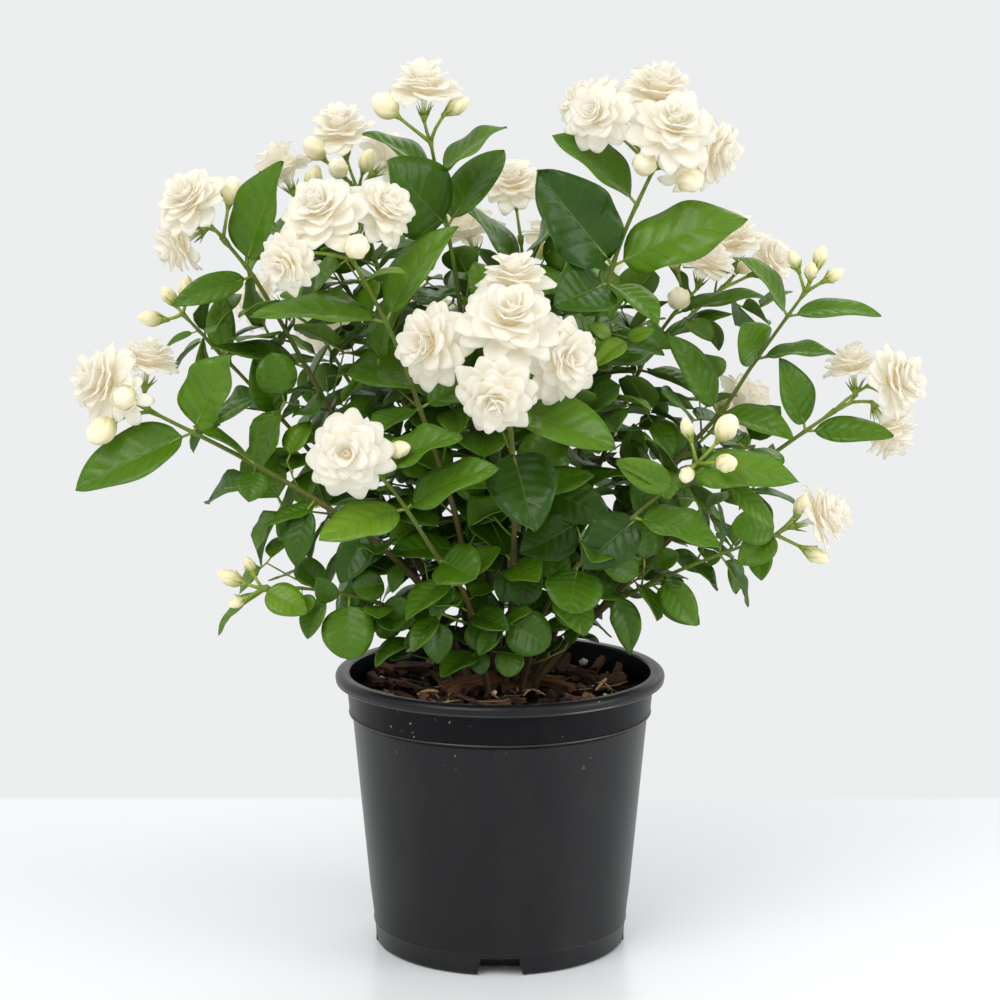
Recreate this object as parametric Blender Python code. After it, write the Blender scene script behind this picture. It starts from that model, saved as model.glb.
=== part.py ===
"""A potted Arabian jasmine: a black nursery pot, potting mix with bark, leafy canes, buds and double blooms.

The origin is the middle of the pot's underside, +Z is up and the plant's best side looks along -Y.
Every size and place below is in millimetres, and becomes metres where a mesh is made.
"""

import math
import random
from collections import namedtuple
from functools import lru_cache

import bmesh
import bpy
from mathutils import Matrix, Quaternion, Vector
from mathutils.bvhtree import BVHTree

MM = 0.001
UP = Vector((0, 0, 1))

# Pot
POT_HEIGHT = 143
RIM_RADIUS = 85
RIM_BOTTOM = 136.5
COLLAR_RADIUS = 79.2
COLLAR_LOW_RADIUS = 77.8
COLLAR_BOTTOM = 121
WALL_TOP_RADIUS = 76.2
WALL_TOP = 119.5
WALL_LOW_RADIUS = 65.2
FOOT_RADIUS = 63.5
POT_WALL = 1.6
POT_FLOOR = 2
POT_EDGE = 2
POT_SIDES = 36
NOTCHES = 4
NOTCH_HEIGHT = 9
NOTCH_LOW_WIDTH = 23
NOTCH_TOP_WIDTH = 19
NOTCH_INNER = 50
DRAIN_RADIUS = 3.5
DRAIN_FROM_AXIS = 57
CUT_PAST = 2

# Potting mix
GAP = 0.3
SOIL_TOP = 131
SOIL_SIDES = 18
SOIL_RINGS = (60, 38)
SOIL_MOUND = 2.5
SOIL_WAVE = 1.1
HOLE_GAP = 0.5
HOLE_WIDER = 1.2
HOLE_DEPTH = 19
CHIPS = 12
CHIP_FROM_AXIS = (12, 68)
CHIP_LIMIT = 73
CHIP_RISE = 0.8
CHIP_LENGTH = (13, 27)
CHIP_WIDTH = (6, 10)
CHIP_THICK = (3, 4.5)
CHIP_TILT = 0.2
CHIP_END = 0.6

# Stems
STEM_SIDES = 4
STEM_STEP = 38
STEM_TAPER = 0.8
FOOT_RUN = 25
FOOT_LEAN = 0.12
SHOOT_CLEAR = 0.5
KNOB_LENGTH = 4
KNOB_RADIUS = 2.1
STALK_RADIUS = 1.1
STALK_BEHIND_TIP = 1.2
STALK_LEAVES_KNOB = 0.6
CALYX_LENGTH = 4.5
CALYX_RADIUS = 2.3

# Leaves: widths, rises and places along a leaf are shares of its length, angles are in degrees
LEAF_WIDTH = 0.6
LEAF_ARCH = 0.09
LEAF_WIDEST = 0.34
LEAF_SHOULDER = 0.68
SHOULDER_WIDTH = 0.78
LEAF_RIB = 1.6
STALK_HALF = 1.0
STALK_RIB = 1.4
STALK_ROOT = 0.7
STALK_LENGTH = 2
LEAF_CLEAR = 0.8
CLEAR_FROM = 0.13
CLEAR_HALF = 1.5
CLEAR_UNDER = 0.6
LEAF_TRIES = 16
TRY_STRAY = 1.4
TRY_SHORTER = 0.015
TRY_ROLL = 3
PAIR_LOOKS = Vector((0.8, 0.5, 0.3))
PAIR_APART = 0.05
PAIR_TURN = 20
PAIR_TRY_TURN = 9
PAIR_SPREAD = (55, 78)
PAIR_TRY_SPREAD = 2
PAIR_DROOP = (0.1, 0.45)
PAIR_LENGTH = (0.82, 1.12)
PAIR_TRY_SHORTER = 0.02
PAIR_WIDTH = (0.56, 0.7)
PAIR_ROLL = 14
PLANT_REACH = 160
FACES_OUT = 0.8

# Blooms: each whorl has its share of the radius, its petals' height, its petals, and the neck above it
WHORLS = ((1.0, 3.5, 7, 4.0), (0.74, 12.5, 5, 8.5), (0.46, 18, 4, 0))
HEART_HEIGHT = 14
NECK_RADIUS = 3.2
WHORL_TURN = 0.35
PETAL_NOTCH = 0.56
NOTCH_RISE = 0.6
PETAL_TIP = 0.42
TUBE_LENGTH = 9
TUBE_RADIUS = 1.7
TUBE_TOP_RADIUS = 2.0
TUBE_TOP = -0.5
THROAT_BACK = 8
BLOOM_TRIES = 30
BLOOM_TRY_STRAY = 0.35
BLOOM_TRY_OUT = 0.3
BLOOM_TRY_SMALLER = 0.01
BLOOM_CLEAR = 0.35
BLOOM_SPACE = ((1, 1.2, 3), (0.8, 1, 15))
BLOOM_SPACE_TOP = 20
BLOOM_SPACE_SIDES = 10

# Buds: the fat ones are rounder, and the two rings have their share of width and length, and a turn
ROUND_BUD = 10.5
ROUND_BUD_LENGTH = 1.2
SLIM_BUD_LENGTH = 1.55
BUD_RINGS = ((0.46, 0.3, 0), (0.44, 0.66, 0.6))
BUD_FOOT_RADIUS = 1.3
BUD_TRY_STRAY = 0.25
BUD_TRY_SMALLER = 0.012

Shoot = namedtuple("Shoot", "stem foot route radii leaves")
Leaf = namedtuple("Leaf", "shoot along tip width faces", defaults=(LEAF_WIDTH, (0, -0.4, 0.9)))
Flower = namedtuple("Flower", "kind shoot place faces size")

# Each shoot: the stem that it belongs to, its foot in the mix or the earlier shoot and the share of its
# length that it leaves, the points it passes, its radius at foot and tip, and its paired leaves as
# (from, to, spacing, size).
SHOOTS = {
    "top": Shoot(
        "stem_top", (-2, 9), [(-8, 14, 208), (-15, 16, 270), (-21, 18, 332), (-28, 12, 375), (-35, 5, 413)],
        (2.6, 1.0), (0.3, 0.72, 35, 42)),
    "crown": Shoot(
        "stem_crown", (5, 3), [(24, -2, 210), (35, -6, 268), (46, -9, 314), (60, -10, 362), (77, -6, 400)],
        (2.8, 1.1), (0.3, 0.72, 37, 44)),
    "upper_left": Shoot(
        "stem_upper_left", (-7, -4), [(-21, -18, 220), (-38, -28, 276), (-53, -38, 319), (-72, -46, 357)],
        (2.6, 1.1), (0.3, 0.9, 37, 42)),
    "back_left": Shoot(
        "stem_back_left", (-9, 15), [(-30, 34, 210), (-48, 50, 276), (-62, 60, 334), (-75, 64, 387)],
        (2.5, 1.0), (0.26, 0.92, 38, 42)),
    "back_left_twig": Shoot(
        "stem_back_left", ("back_left", 0.6), [(-83, 64, 338), (-104, 72, 378)],
        (1.7, 1.0), (0.3, 0.9, 35, 38)),
    "left_high": Shoot(
        "stem_left_high", (-13, 5),
        [(-42, 6, 197), (-70, 8, 245), (-95, 8, 291), (-122, 6, 340), (-140, 0, 365)],
        (2.6, 1.1), (0.24, 0.8, 37, 42)),
    "left_middle": Shoot(
        "stem_left_middle", (-14, -7), [(-38, -14, 186), (-76, -22, 223), (-121, -30, 253), (-174, -32, 281)],
        (2.7, 1.1), (0.2, 0.7, 38, 38)),
    "left_buds": Shoot(
        "stem_left_buds", (-19, 12), [(-50, 18, 200), (-81, 20, 233), (-118, 20, 276), (-163, 14, 326)],
        (2.2, 0.9), (0.24, 0.85, 38, 38)),
    "low_left": Shoot(
        "stem_low_left", (-21, -14), [(-43, -19, 170), (-68, -23, 184), (-101, -30, 191), (-120, -32, 191)],
        (2.0, 0.8), (0.3, 0.86, 24, 27)),
    "front": Shoot(
        "stem_front", (-5, -16), [(-16, -38, 185), (-30, -54, 210), (-50, -68, 244), (-67, -64, 262)],
        (2.3, 1.0), (0.2, 0.6, 27, 30)),
    "front_sprig": Shoot(
        "stem_front", ("front", 0.36), [(-24, -42, 178), (-37, -50, 186)],
        (1.1, 0.6), (0.35, 1.0, 17, 24)),
    "center": Shoot(
        "stem_center", (2, -9), [(6, -26, 186), (7, -38, 225), (6, -48, 264), (1, -46, 318)],
        (2.5, 1.2), (0.2, 0.86, 35, 40)),
    "center_sprig": Shoot(
        "stem_center", ("center", 0.28), [(3, -34, 172), (-2, -46, 178)],
        (1.1, 0.6), (0.35, 1.0, 17, 24)),
    "right_front": Shoot(
        "stem_right_front", (10, -12), [(22, -28, 178), (39, -46, 206), (64, -58, 231), (96, -66, 260)],
        (2.1, 0.9), (0.22, 0.7, 28, 32)),
    "right_low": Shoot(
        "stem_right_low", (16, -3),
        [(39, 0, 161), (54, 0, 176), (83, 8, 205), (130, 16, 244), (173, 18, 275)],
        (3.3, 1.0), (0.3, 0.7, 34, 34)),
    "right_low_twig": Shoot(
        "stem_right_low", ("right_low", 0.32), [(82, -10, 192), (112, -17, 206), (140, -22, 217)],
        (1.5, 0.9), (0.2, 0.85, 35, 28)),
    "right_high": Shoot(
        "stem_right_high", (15, 9),
        [(44, 16, 191), (72, 20, 228), (112, 21, 271), (131, 18, 300), (156, 12, 337)],
        (2.6, 0.9), (0.24, 0.62, 37, 42)),
    "right_back": Shoot(
        "stem_right_back", (8, 16), [(37, 34, 204), (58, 46, 256), (79, 52, 303), (97, 54, 329)],
        (2.4, 1.0), (0.24, 0.9, 37, 42)),
    "right_back_twig": Shoot(
        "stem_right_back", ("right_back", 0.84), [(102, 69, 320), (120, 80, 334)],
        (1.4, 0.9), (0.35, 0.9, 24, 34)),
    "right_back_buds": Shoot(
        "stem_right_back", ("right_back", 0.4), [(44, 56, 270), (43, 66, 320), (41, 68, 350)],
        (1.6, 0.9), (0.25, 0.9, 38, 38)),
    "back_center": Shoot(
        "stem_back_center", (-2, 20), [(3, 52, 201), (8, 76, 273), (13, 88, 330), (11, 91, 361)],
        (2.4, 1.0), (0.24, 0.9, 38, 42)),
    "back_center_twig": Shoot(
        "stem_back_center", ("back_center", 0.64), [(-5, 98, 314), (-13, 104, 338)],
        (1.4, 0.9), (0.3, 0.9, 28, 38)),
    "rear_left": Shoot(
        "stem_rear_left", (-10, 26), [(-27, 50, 190), (-60, 82, 245), (-88, 108, 288), (-101, 120, 307)],
        (2.5, 1.0), (0.22, 0.95, 37, 42)),
    "rear_left_twig": Shoot(
        "stem_rear_left", ("rear_left", 0.63), [(-50, 112, 276), (-43, 134, 293)],
        (1.5, 0.9), (0.25, 0.95, 26, 40)),
    "rear_middle": Shoot(
        "stem_rear_middle", (2, 30), [(11, 60, 190), (22, 98, 250), (29, 120, 300), (32, 129, 333)],
        (2.5, 1.0), (0.22, 0.95, 37, 42)),
    "rear_right": Shoot(
        "stem_rear_right", (15, 22), [(44, 50, 184), (84, 80, 226), (118, 104, 254)],
        (2.4, 0.9), (0.22, 0.95, 37, 38)),
}

# Leaves whose place the plant's front view fixes: how far up their shoot they grow, and where the tip is.
FRONT_FACE = (0, -0.9, 0.4)
LEAVES = [
    Leaf("top", 0.94, (-68, -2, 417)),
    Leaf("top", 0.94, (3, 2, 420)),
    Leaf("top", 0.85, (-55, -20, 403), 0.75, FRONT_FACE),
    Leaf("top", 0.85, (2, 36, 408), 0.5),
    Leaf("top", 0.57, (-75, -26, 300), 0.6, (0, -0.6, 0.8)),
    Leaf("crown", 0.82, (18, -30, 399), 0.62, FRONT_FACE),
    Leaf("crown", 0.82, (121, -22, 377), 0.5, (0.1, -0.75, 0.65)),
    Leaf("crown", 0.79, (27, -42, 334), 0.8, FRONT_FACE),
    Leaf("crown", 0.79, (76, -30, 321), 0.5),
    Leaf("crown", 0.93, (29, -12, 416), 0.5, (0, -0.7, 0.7)),
    Leaf("upper_left", 0.86, (-121, -50, 331), 0.42),
    Leaf("upper_left", 0.86, (-22, -36, 373), 0.5),
    Leaf("upper_left", 0.95, (-46, -62, 352), 0.4),
    Leaf("left_high", 0.91, (-184, -8, 335), 0.36, (0, -0.6, 0.8)),
    Leaf("left_high", 0.93, (-107, -16, 403), 0.55, (-0.5, -0.8, 0.3)),
    Leaf("left_high", 0.72, (-146, 0, 310), 0.4),
    Leaf("left_middle", 0.90, (-210, -40, 242), 0.5, (0, -0.7, 0.7)),
    Leaf("left_middle", 0.90, (-131, -48, 310), 0.7, (-0.5, -0.85, 0.2)),
    Leaf("left_middle", 0.76, (-142, -52, 276), 0.5),
    Leaf("left_middle", 0.76, (-124, -44, 237), 0.8, FRONT_FACE),
    Leaf("left_middle", 0.60, (-118, -36, 224), 0.4),
    Leaf("left_buds", 0.88, (-141, 8, 336), 0.45, FRONT_FACE),
    Leaf("left_buds", 0.95, (-171, 10, 308), 0.35),
    Leaf("left_buds", 0.72, (-121, 0, 310), 0.5, FRONT_FACE),
    Leaf("low_left", 0.98, (-137, -36, 167), 0.35, (-0.3, -0.6, 0.7)),
    Leaf("low_left", 0.86, (-96, -36, 180), 0.85, (-0.3, -0.6, 0.7)),
    Leaf("low_left", 0.69, (-75, -38, 156), 0.85, FRONT_FACE),
    Leaf("low_left", 0.50, (-58, -40, 174), 0.85, (-0.3, -0.6, 0.7)),
    Leaf("front", 0.81, (-2, -84, 261), 0.5, (0, -0.6, 0.8)),
    Leaf("front", 0.81, (-86, -90, 226), 0.6, (-0.2, -0.6, 0.8)),
    Leaf("front", 0.62, (-12, -80, 206), 0.85, FRONT_FACE),
    Leaf("front", 0.94, (-15, -86, 275), 0.5, (0, -0.6, 0.8)),
    Leaf("center", 0.74, (16, -84, 231), 0.72, FRONT_FACE),
    Leaf("center", 0.84, (-29, -60, 289), 0.4),
    Leaf("center", 0.84, (55, -84, 269), 0.5, (0.1, -0.7, 0.7)),
    Leaf("right_front", 0.56, (34, -72, 187), 0.9, FRONT_FACE),
    Leaf("right_front", 0.77, (107, -70, 220), 0.5, (0.1, -0.6, 0.8)),
    Leaf("right_front", 0.87, (58, -76, 260), 0.4, (0, -0.6, 0.8)),
    Leaf("right_front", 0.95, (143, -78, 253), 0.45, (0, -0.7, 0.7)),
    Leaf("right_low", 0.34, (67, -10, 152), 0.4, (0.4, -0.8, 0.3)),
    Leaf("right_low_twig", 0.30, (102, -14, 169), 0.5, FRONT_FACE),
    Leaf("right_low_twig", 0.90, (122, -30, 238), 0.5, (0.3, -0.7, 0.5)),
    Leaf("right_low_twig", 0.90, (131, -34, 196), 0.6),
    Leaf("right_low", 0.92, (143, 8, 303), 0.55, (0.3, -0.8, 0.5)),
    Leaf("right_low", 0.92, (198, 4, 266), 0.4, (0, -0.6, 0.8)),
    Leaf("right_high", 0.71, (87, 8, 315), 0.4, (0.3, -0.8, 0.5)),
    Leaf("right_high", 0.71, (156, -2, 267), 0.5, (0, -0.6, 0.8)),
    Leaf("right_high", 0.84, (122, -8, 322), 0.7, FRONT_FACE),
    Leaf("right_high", 0.84, (170, 0, 306), 0.4),
    Leaf("right_high", 0.94, (194, 8, 325), 0.36, (0, -0.5, 0.85)),
    Leaf("right_high", 0.94, (122, 2, 355), 0.6, (0.3, -0.5, 0.8)),
    Leaf("right_back", 0.88, (121, 36, 323), 0.4),
    Leaf("right_back", 0.96, (140, 40, 332), 0.35),
    Leaf("back_center", 0.90, (-20, 72, 378), 0.6),
    Leaf("back_center", 0.90, (36, 80, 376), 0.6),
]

# Blooms, half-open flowers and buds: their middle, the way they face and their width.
FLOWERS = [
    Flower("bloom", "top", (-38, 0, 442), (0, -0.25, 0.97), 40),
    Flower("bud", "top", (-57, -6, 430), (-0.7, -0.3, 0.6), 13),
    Flower("bud", "top", (-21, -4, 430), (0.8, -0.2, 0.5), 9),
    Flower("bloom", "crown", (80, 8, 440), (0.1, -0.3, 0.95), 42),
    Flower("bloom", "crown", (87, -22, 419), (0.2, -0.72, 0.66), 46),
    Flower("bloom", "crown", (57, -18, 422), (-0.4, -0.85, 0.3), 42),
    Flower("bloom", "crown", (42, 8, 431), (-0.8, -0.35, 0.5), 38),
    Flower("bloom", "crown", (109, 2, 407), (0.9, -0.42, -0.1), 40),
    Flower("half", "crown", (95, -26, 392), (0.35, -0.75, -0.55), 19),
    Flower("bud", "crown", (71, -24, 402), (-0.3, -0.9, 0.15), 13),
    Flower("bloom", "upper_left", (-86, -56, 381), (-0.25, -0.68, 0.69), 46),
    Flower("bloom", "upper_left", (-60, -44, 378), (0.6, -0.6, 0.53), 38),
    Flower("bloom", "upper_left", (-98, -62, 357), (-0.5, -0.82, -0.28), 32),
    Flower("bud", "upper_left", (-68, -70, 364), (0.2, -0.95, 0.2), 13),
    Flower("bloom", "back_left", (-84, 62, 420), (-0.15, -0.4, 0.9), 38),
    Flower("bloom", "back_left", (-56, 80, 404), (0.65, 0.5, 0.55), 38),
    Flower("bud", "back_left", (-97, 56, 408), (-0.6, -0.3, 0.7), 12),
    Flower("bud", "back_left", (-84, 46, 398), (-0.3, -0.8, 0.5), 11),
    Flower("bud", "back_left", (-69, 50, 402), (0.3, -0.6, 0.7), 10),
    Flower("bloom", "back_left_twig", (-118, 78, 400), (-0.45, 0.2, 0.87), 38),
    Flower("bud", "back_left_twig", (-98, 62, 393), (0.3, -0.5, 0.8), 10),
    Flower("bloom", "left_high", (-156, -6, 385), (-0.45, -0.6, 0.66), 40),
    Flower("bloom", "left_high", (-163, 4, 362), (-0.85, -0.25, -0.45), 36),
    Flower("bud", "left_high", (-135, 2, 388), (0.2, -0.1, 0.97), 12),
    Flower("bloom", "left_middle", (-199, -32, 295), (-0.75, -0.55, 0.36), 42),
    Flower("bloom", "left_middle", (-175, -22, 307), (0.15, -0.1, 0.98), 32),
    Flower("half", "left_middle", (-184, -52, 290), (-0.15, -0.95, 0.25), 16),
    Flower("bud", "left_middle", (-196, -42, 272), (-0.7, -0.5, -0.5), 14),
    Flower("bud", "left_buds", (-159, 6, 339), (0.1, -0.4, 0.9), 9),
    Flower("bud", "left_buds", (-178, 10, 323), (-0.95, -0.2, 0.1), 9),
    Flower("bud", "left_buds", (-170, 20, 334), (-0.6, 0.4, 0.7), 8),
    Flower("bud", "low_left", (-135, -34, 197), (-0.9, -0.1, 0.4), 9),
    Flower("bud", "low_left", (-126, -26, 202), (-0.4, 0.3, 0.85), 6),
    Flower("bud", "low_left", (-131, -42, 186), (-0.75, -0.5, -0.3), 6),
    Flower("bloom", "front", (-72, -90, 267), (-0.12, -0.97, 0.15), 47),
    Flower("bud", "front", (-48, -79, 268), (0.75, -0.6, 0.25), 9),
    Flower("bloom", "center", (5, -76, 330), (0.05, -0.72, 0.69), 52),
    Flower("bloom", "center", (-33, -64, 319), (-0.68, -0.72, 0.12), 44),
    Flower("bloom", "center", (31, -66, 313), (0.6, -0.79, 0.05), 44),
    Flower("bloom", "center", (-4, -80, 297), (-0.05, -0.9, -0.42), 45),
    Flower("bloom", "center", (6, -46, 347), (0, -0.3, 0.95), 42),
    Flower("bud", "right_front", (90, -68, 277), (-0.3, -0.2, 0.9), 7),
    Flower("bud", "right_front", (109, -68, 277), (0.5, -0.2, 0.85), 12),
    Flower("bud", "right_front", (108, -84, 262), (0.4, -0.85, 0.1), 10),
    Flower("bud", "right_front", (89, -82, 256), (-0.3, -0.9, -0.2), 8),
    Flower("bloom", "right_low_twig", (164, -24, 227), (0.9, -0.2, 0.35), 40),
    Flower("bud", "right_low_twig", (150, -34, 234), (0.3, -0.5, 0.8), 8),
    Flower("bud", "right_low_twig", (158, -32, 208), (0.8, -0.4, -0.4), 9),
    Flower("bloom", "right_low", (181, 20, 302), (-0.15, -0.1, 0.98), 32),
    Flower("bloom", "right_low", (205, 10, 292), (0.8, -0.55, 0.25), 40),
    Flower("bloom", "right_low", (200, 20, 265), (0.45, -0.3, -0.84), 38),
    Flower("bud", "right_high", (149, 8, 353), (-0.4, -0.2, 0.9), 7),
    Flower("bud", "right_high", (163, 14, 354), (0.3, 0.1, 0.95), 8),
    Flower("bud", "right_high", (157, 2, 348), (0, -0.6, 0.75), 7),
    Flower("bud", "right_high", (170, 10, 345), (0.85, -0.1, 0.5), 7),
    Flower("bloom", "right_back", (110, 50, 353), (0.3, -0.3, 0.9), 32),
    Flower("bud", "right_back", (90, 48, 352), (-0.4, -0.2, 0.9), 9),
    Flower("bud", "right_back", (93, 38, 331), (-0.3, -0.9, 0), 13),
    Flower("bloom", "right_back_twig", (124, 86, 362), (-0.2, -0.3, 0.93), 40),
    Flower("bloom", "right_back_twig", (143, 84, 352), (0.75, -0.4, 0.52), 34),
    Flower("bud", "right_back_twig", (131, 70, 346), (0.4, -0.8, 0.4), 9),
    Flower("bud", "right_back_buds", (36, 62, 364), (-0.4, -0.4, 0.85), 9),
    Flower("bud", "right_back_buds", (47, 70, 365), (0.4, 0, 0.9), 8),
    Flower("bloom", "back_center", (7, 90, 391), (-0.1, -0.55, 0.83), 38),
    Flower("bloom", "back_center_twig", (-19, 112, 366), (-0.3, 0.3, 0.9), 40),
    Flower("bloom", "rear_left", (-106, 126, 338), (-0.05, 0.1, 0.99), 44),
    Flower("bloom", "rear_left", (-128, 126, 318), (-0.9, 0.2, 0.3), 42),
    Flower("bloom", "rear_left", (-98, 148, 312), (0.2, 0.96, 0.1), 42),
    Flower("bloom", "rear_left_twig", (-40, 160, 310), (0, 0.88, 0.47), 44),
    Flower("bud", "rear_left_twig", (-53, 148, 310), (-0.5, 0.4, 0.75), 10),
    Flower("bloom", "rear_middle", (34, 134, 364), (0.05, 0.2, 0.98), 46),
    Flower("bloom", "rear_middle", (52, 148, 340), (0.7, 0.7, 0.1), 42),
    Flower("bud", "rear_middle", (22, 144, 350), (-0.5, 0.75, 0.4), 11),
    Flower("bloom", "rear_right", (138, 112, 268), (0.85, 0.35, 0.4), 42),
    Flower("bud", "rear_right", (124, 118, 268), (0.2, 0.75, 0.6), 10),
]

COLOURS = {
    "pot": ((0.012, 0.013, 0.015), 0.42),
    "soil": ((0.035, 0.018, 0.010), 0.95),
    "leaf": ((0.045, 0.155, 0.018), 0.38),
    "petal": ((0.90, 0.87, 0.76), 0.55),
}


def material(name):
    """One Principled BSDF of the named finish, made once."""
    made = bpy.data.materials.get(name)
    if made:
        return made
    colour, roughness = COLOURS[name]
    made = bpy.data.materials.new(name)
    made.use_nodes = True
    shader = made.node_tree.nodes["Principled BSDF"]
    shader.inputs["Base Color"].default_value = (*colour, 1)
    shader.inputs["Roughness"].default_value = roughness
    shader.inputs["Metallic"].default_value = 0
    return made


class Solid:
    """A closed shell in millimetres, with the box round it and a tree to find what crosses it."""

    def __init__(self, shell):
        self.shell = shell
        corners = [vertex.co for vertex in shell.verts]
        self.low = [min(c[i] for c in corners) for i in range(3)]
        self.high = [max(c[i] for c in corners) for i in range(3)]
        self.tree = BVHTree.FromBMesh(shell)

    def meets(self, other):
        """True if the two surfaces cross."""
        for i in range(3):
            if self.low[i] > other.high[i] or other.low[i] > self.high[i]:
                return False
        return bool(self.tree.overlap(other.tree))

    def meets_any(self, others):
        return any(self.meets(other) for other in others)


def loft(rings):
    """A closed solid through rings of points, from the first to the last; a ring of one point is a tip."""
    shell = bmesh.new()
    loops = []
    for points in rings:
        corners = [shell.verts.new(point) for point in points]
        pairs = zip(corners, corners[1:] + corners[:1]) if len(corners) > 1 else ()
        loops.append((corners, [shell.edges.new(pair) for pair in pairs]))
    for (low, low_edges), (high, high_edges) in zip(loops, loops[1:]):
        if len(low) > 1 and len(high) > 1:
            bmesh.ops.bridge_loops(shell, edges=low_edges + high_edges)
        tip = low[0] if len(low) == 1 else high[0]
        for edge in high_edges if len(low) == 1 else low_edges if len(high) == 1 else ():
            shell.faces.new((*edge.verts, tip))
    for _, edges in (loops[0], loops[-1]):
        if edges:
            bmesh.ops.contextual_create(shell, geom=edges)
    bmesh.ops.recalc_face_normals(shell, faces=shell.faces)
    return Solid(shell)


def add_object(name, solid, finish):
    """A mesh object of a solid, in metres."""
    mesh = bpy.data.meshes.new(name)
    solid.shell.to_mesh(mesh)
    mesh.transform(Matrix.Scale(MM, 4))
    mesh.materials.append(material(finish))
    made = bpy.data.objects.new(name, mesh)
    bpy.context.scene.collection.objects.link(made)
    return made


def finish_mesh(target):
    """Keeps what the object's modifiers give as its mesh, and drops the modifiers."""
    graph = bpy.context.evaluated_depsgraph_get()
    made = bpy.data.meshes.new_from_object(target.evaluated_get(graph))
    target.modifiers.clear()
    target.data = made


def combine(target, tools, operation, solver="EXACT"):
    """Joins or cuts the target with all the tools at once, and removes the tools."""
    group = bpy.data.collections.new("tools")
    bpy.context.scene.collection.children.link(group)
    for tool in tools:
        bpy.context.scene.collection.objects.unlink(tool)
        group.objects.link(tool)
    modifier = target.modifiers.new("combine", "BOOLEAN")
    modifier.operation = operation
    modifier.operand_type = "COLLECTION"
    modifier.collection = group
    modifier.solver = solver
    finish_mesh(target)
    for tool in tools:
        bpy.data.objects.remove(tool)
    bpy.data.collections.remove(group)


def smooth_shading(target, angle=35):
    target.data.shade_smooth()
    target.data.set_sharp_from_angle(angle=math.radians(angle))


# Lines and tubes


def curve_point(points, place):
    """A point on the smooth curve through the points, with place counted in points."""
    spans = len(points) - 1
    i = min(int(place), spans - 1)
    t = place - i
    before = points[i - 1] if i else points[0] * 2 - points[1]
    after = points[i + 2] if i + 2 <= spans else points[spans] * 2 - points[spans - 1]
    a, b = points[i], points[i + 1]
    bend = (before * 2 - a * 5 + b * 4 - after) * t * t + (a * 3 - before - b * 3 + after) * t ** 3
    return (a * 2 + (b - before) * t + bend) * 0.5


def line_length(line):
    return sum((b - a).length for a, b in zip(line, line[1:]))


def line_point(line, along):
    """The point of a polyline at a share of its length."""
    left = line_length(line) * along
    for a, b in zip(line, line[1:]):
        step = (b - a).length
        if left <= step:
            return a.lerp(b, left / step)
        left -= step
    return line[-1].copy()


def line_direction(line, along, step=0.02):
    return (line_point(line, min(along + step, 1)) - line_point(line, along - step)).normalized()


def ring(radius, height, count, turn=0.0):
    """Points evenly round the Z axis."""
    angles = [turn + 2 * math.pi * k / count for k in range(count)]
    return [Vector((radius * math.cos(a), radius * math.sin(a), height)) for a in angles]


def placed(points, origin, turn):
    return [turn @ point + origin for point in points]


def facing(faces):
    """The turn that points +Z the way a flower faces."""
    return Vector(faces).normalized().to_track_quat("Z", "Y")


def tube(line, radii, sides):
    """A closed tube along the line, with its own radius at each point and no twist."""
    rings = []
    ahead, turn = UP, Quaternion()
    for i, (point, radius) in enumerate(zip(line, radii)):
        before, ahead = ahead, line[min(i + 1, len(line) - 1)] - line[max(i - 1, 0)]
        turn = before.rotation_difference(ahead) @ turn
        rings.append(placed(ring(radius, 0, sides), point, turn))
    return loft(rings)


@lru_cache(maxsize=None)
def shoot_line(name):
    """The polyline of a shoot, from its foot in the mix or from the shoot that it leaves."""
    shoot = SHOOTS[name]
    route = [Vector(point) for point in shoot.route]
    if isinstance(shoot.foot[0], str):
        parent, along = shoot.foot
        below, start = [], line_point(shoot_line(parent), along)
    else:
        foot = Vector((*shoot.foot, SOIL_TOP - HOLE_DEPTH + HOLE_GAP))
        start = foot + (route[0] - foot) * FOOT_LEAN
        start.z = foot.z + FOOT_RUN
        below = [foot]
    points = [start, *route]
    steps = max(2, round(line_length(points) / STEM_STEP))
    return below + [curve_point(points, i / steps * (len(points) - 1)) for i in range(steps + 1)]


def shoot_radius(name, along):
    low, high = SHOOTS[name].radii
    return low + (high - low) * along ** STEM_TAPER


def shoot_tube(name, wider=0.0):
    """A shoot's own tube, with the small knob at its tip that its flowers grow from."""
    line = shoot_line(name)
    whole = line_length(line)
    radii = [shoot_radius(name, line_length(line[:i + 1]) / whole) + wider for i in range(len(line))]
    if any(flower.shoot == name for flower in FLOWERS):
        knob_start = line_point(line, 1 - KNOB_LENGTH / whole)
        line = line[:-1] + [knob_start, line[-1]]
        radii = radii[:-1] + [radii[-1], KNOB_RADIUS + wider]
    return tube(line, radii, STEM_SIDES)


# Leaves


def leaf_frame(base, tip, faces, roll):
    """The leaf's length, its direction, its sideways direction and the way its upper side looks."""
    ahead = tip - base
    length = ahead.length
    ahead = ahead / length
    normal = faces.normalized()
    normal = (normal - ahead * normal.dot(ahead)).normalized()
    normal = Matrix.Rotation(roll, 3, ahead) @ normal
    return length, ahead, normal.cross(ahead), normal


def leaf_point(base, frame, along, half_width, rise):
    """A point of the blade: along its length from 0 to 1, off to one side, and off its middle surface."""
    length, ahead, side, normal = frame
    arch = LEAF_ARCH * length * 4 * along * (1 - along)
    return base + ahead * (along * length) + side * half_width + normal * (arch + rise)


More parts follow.
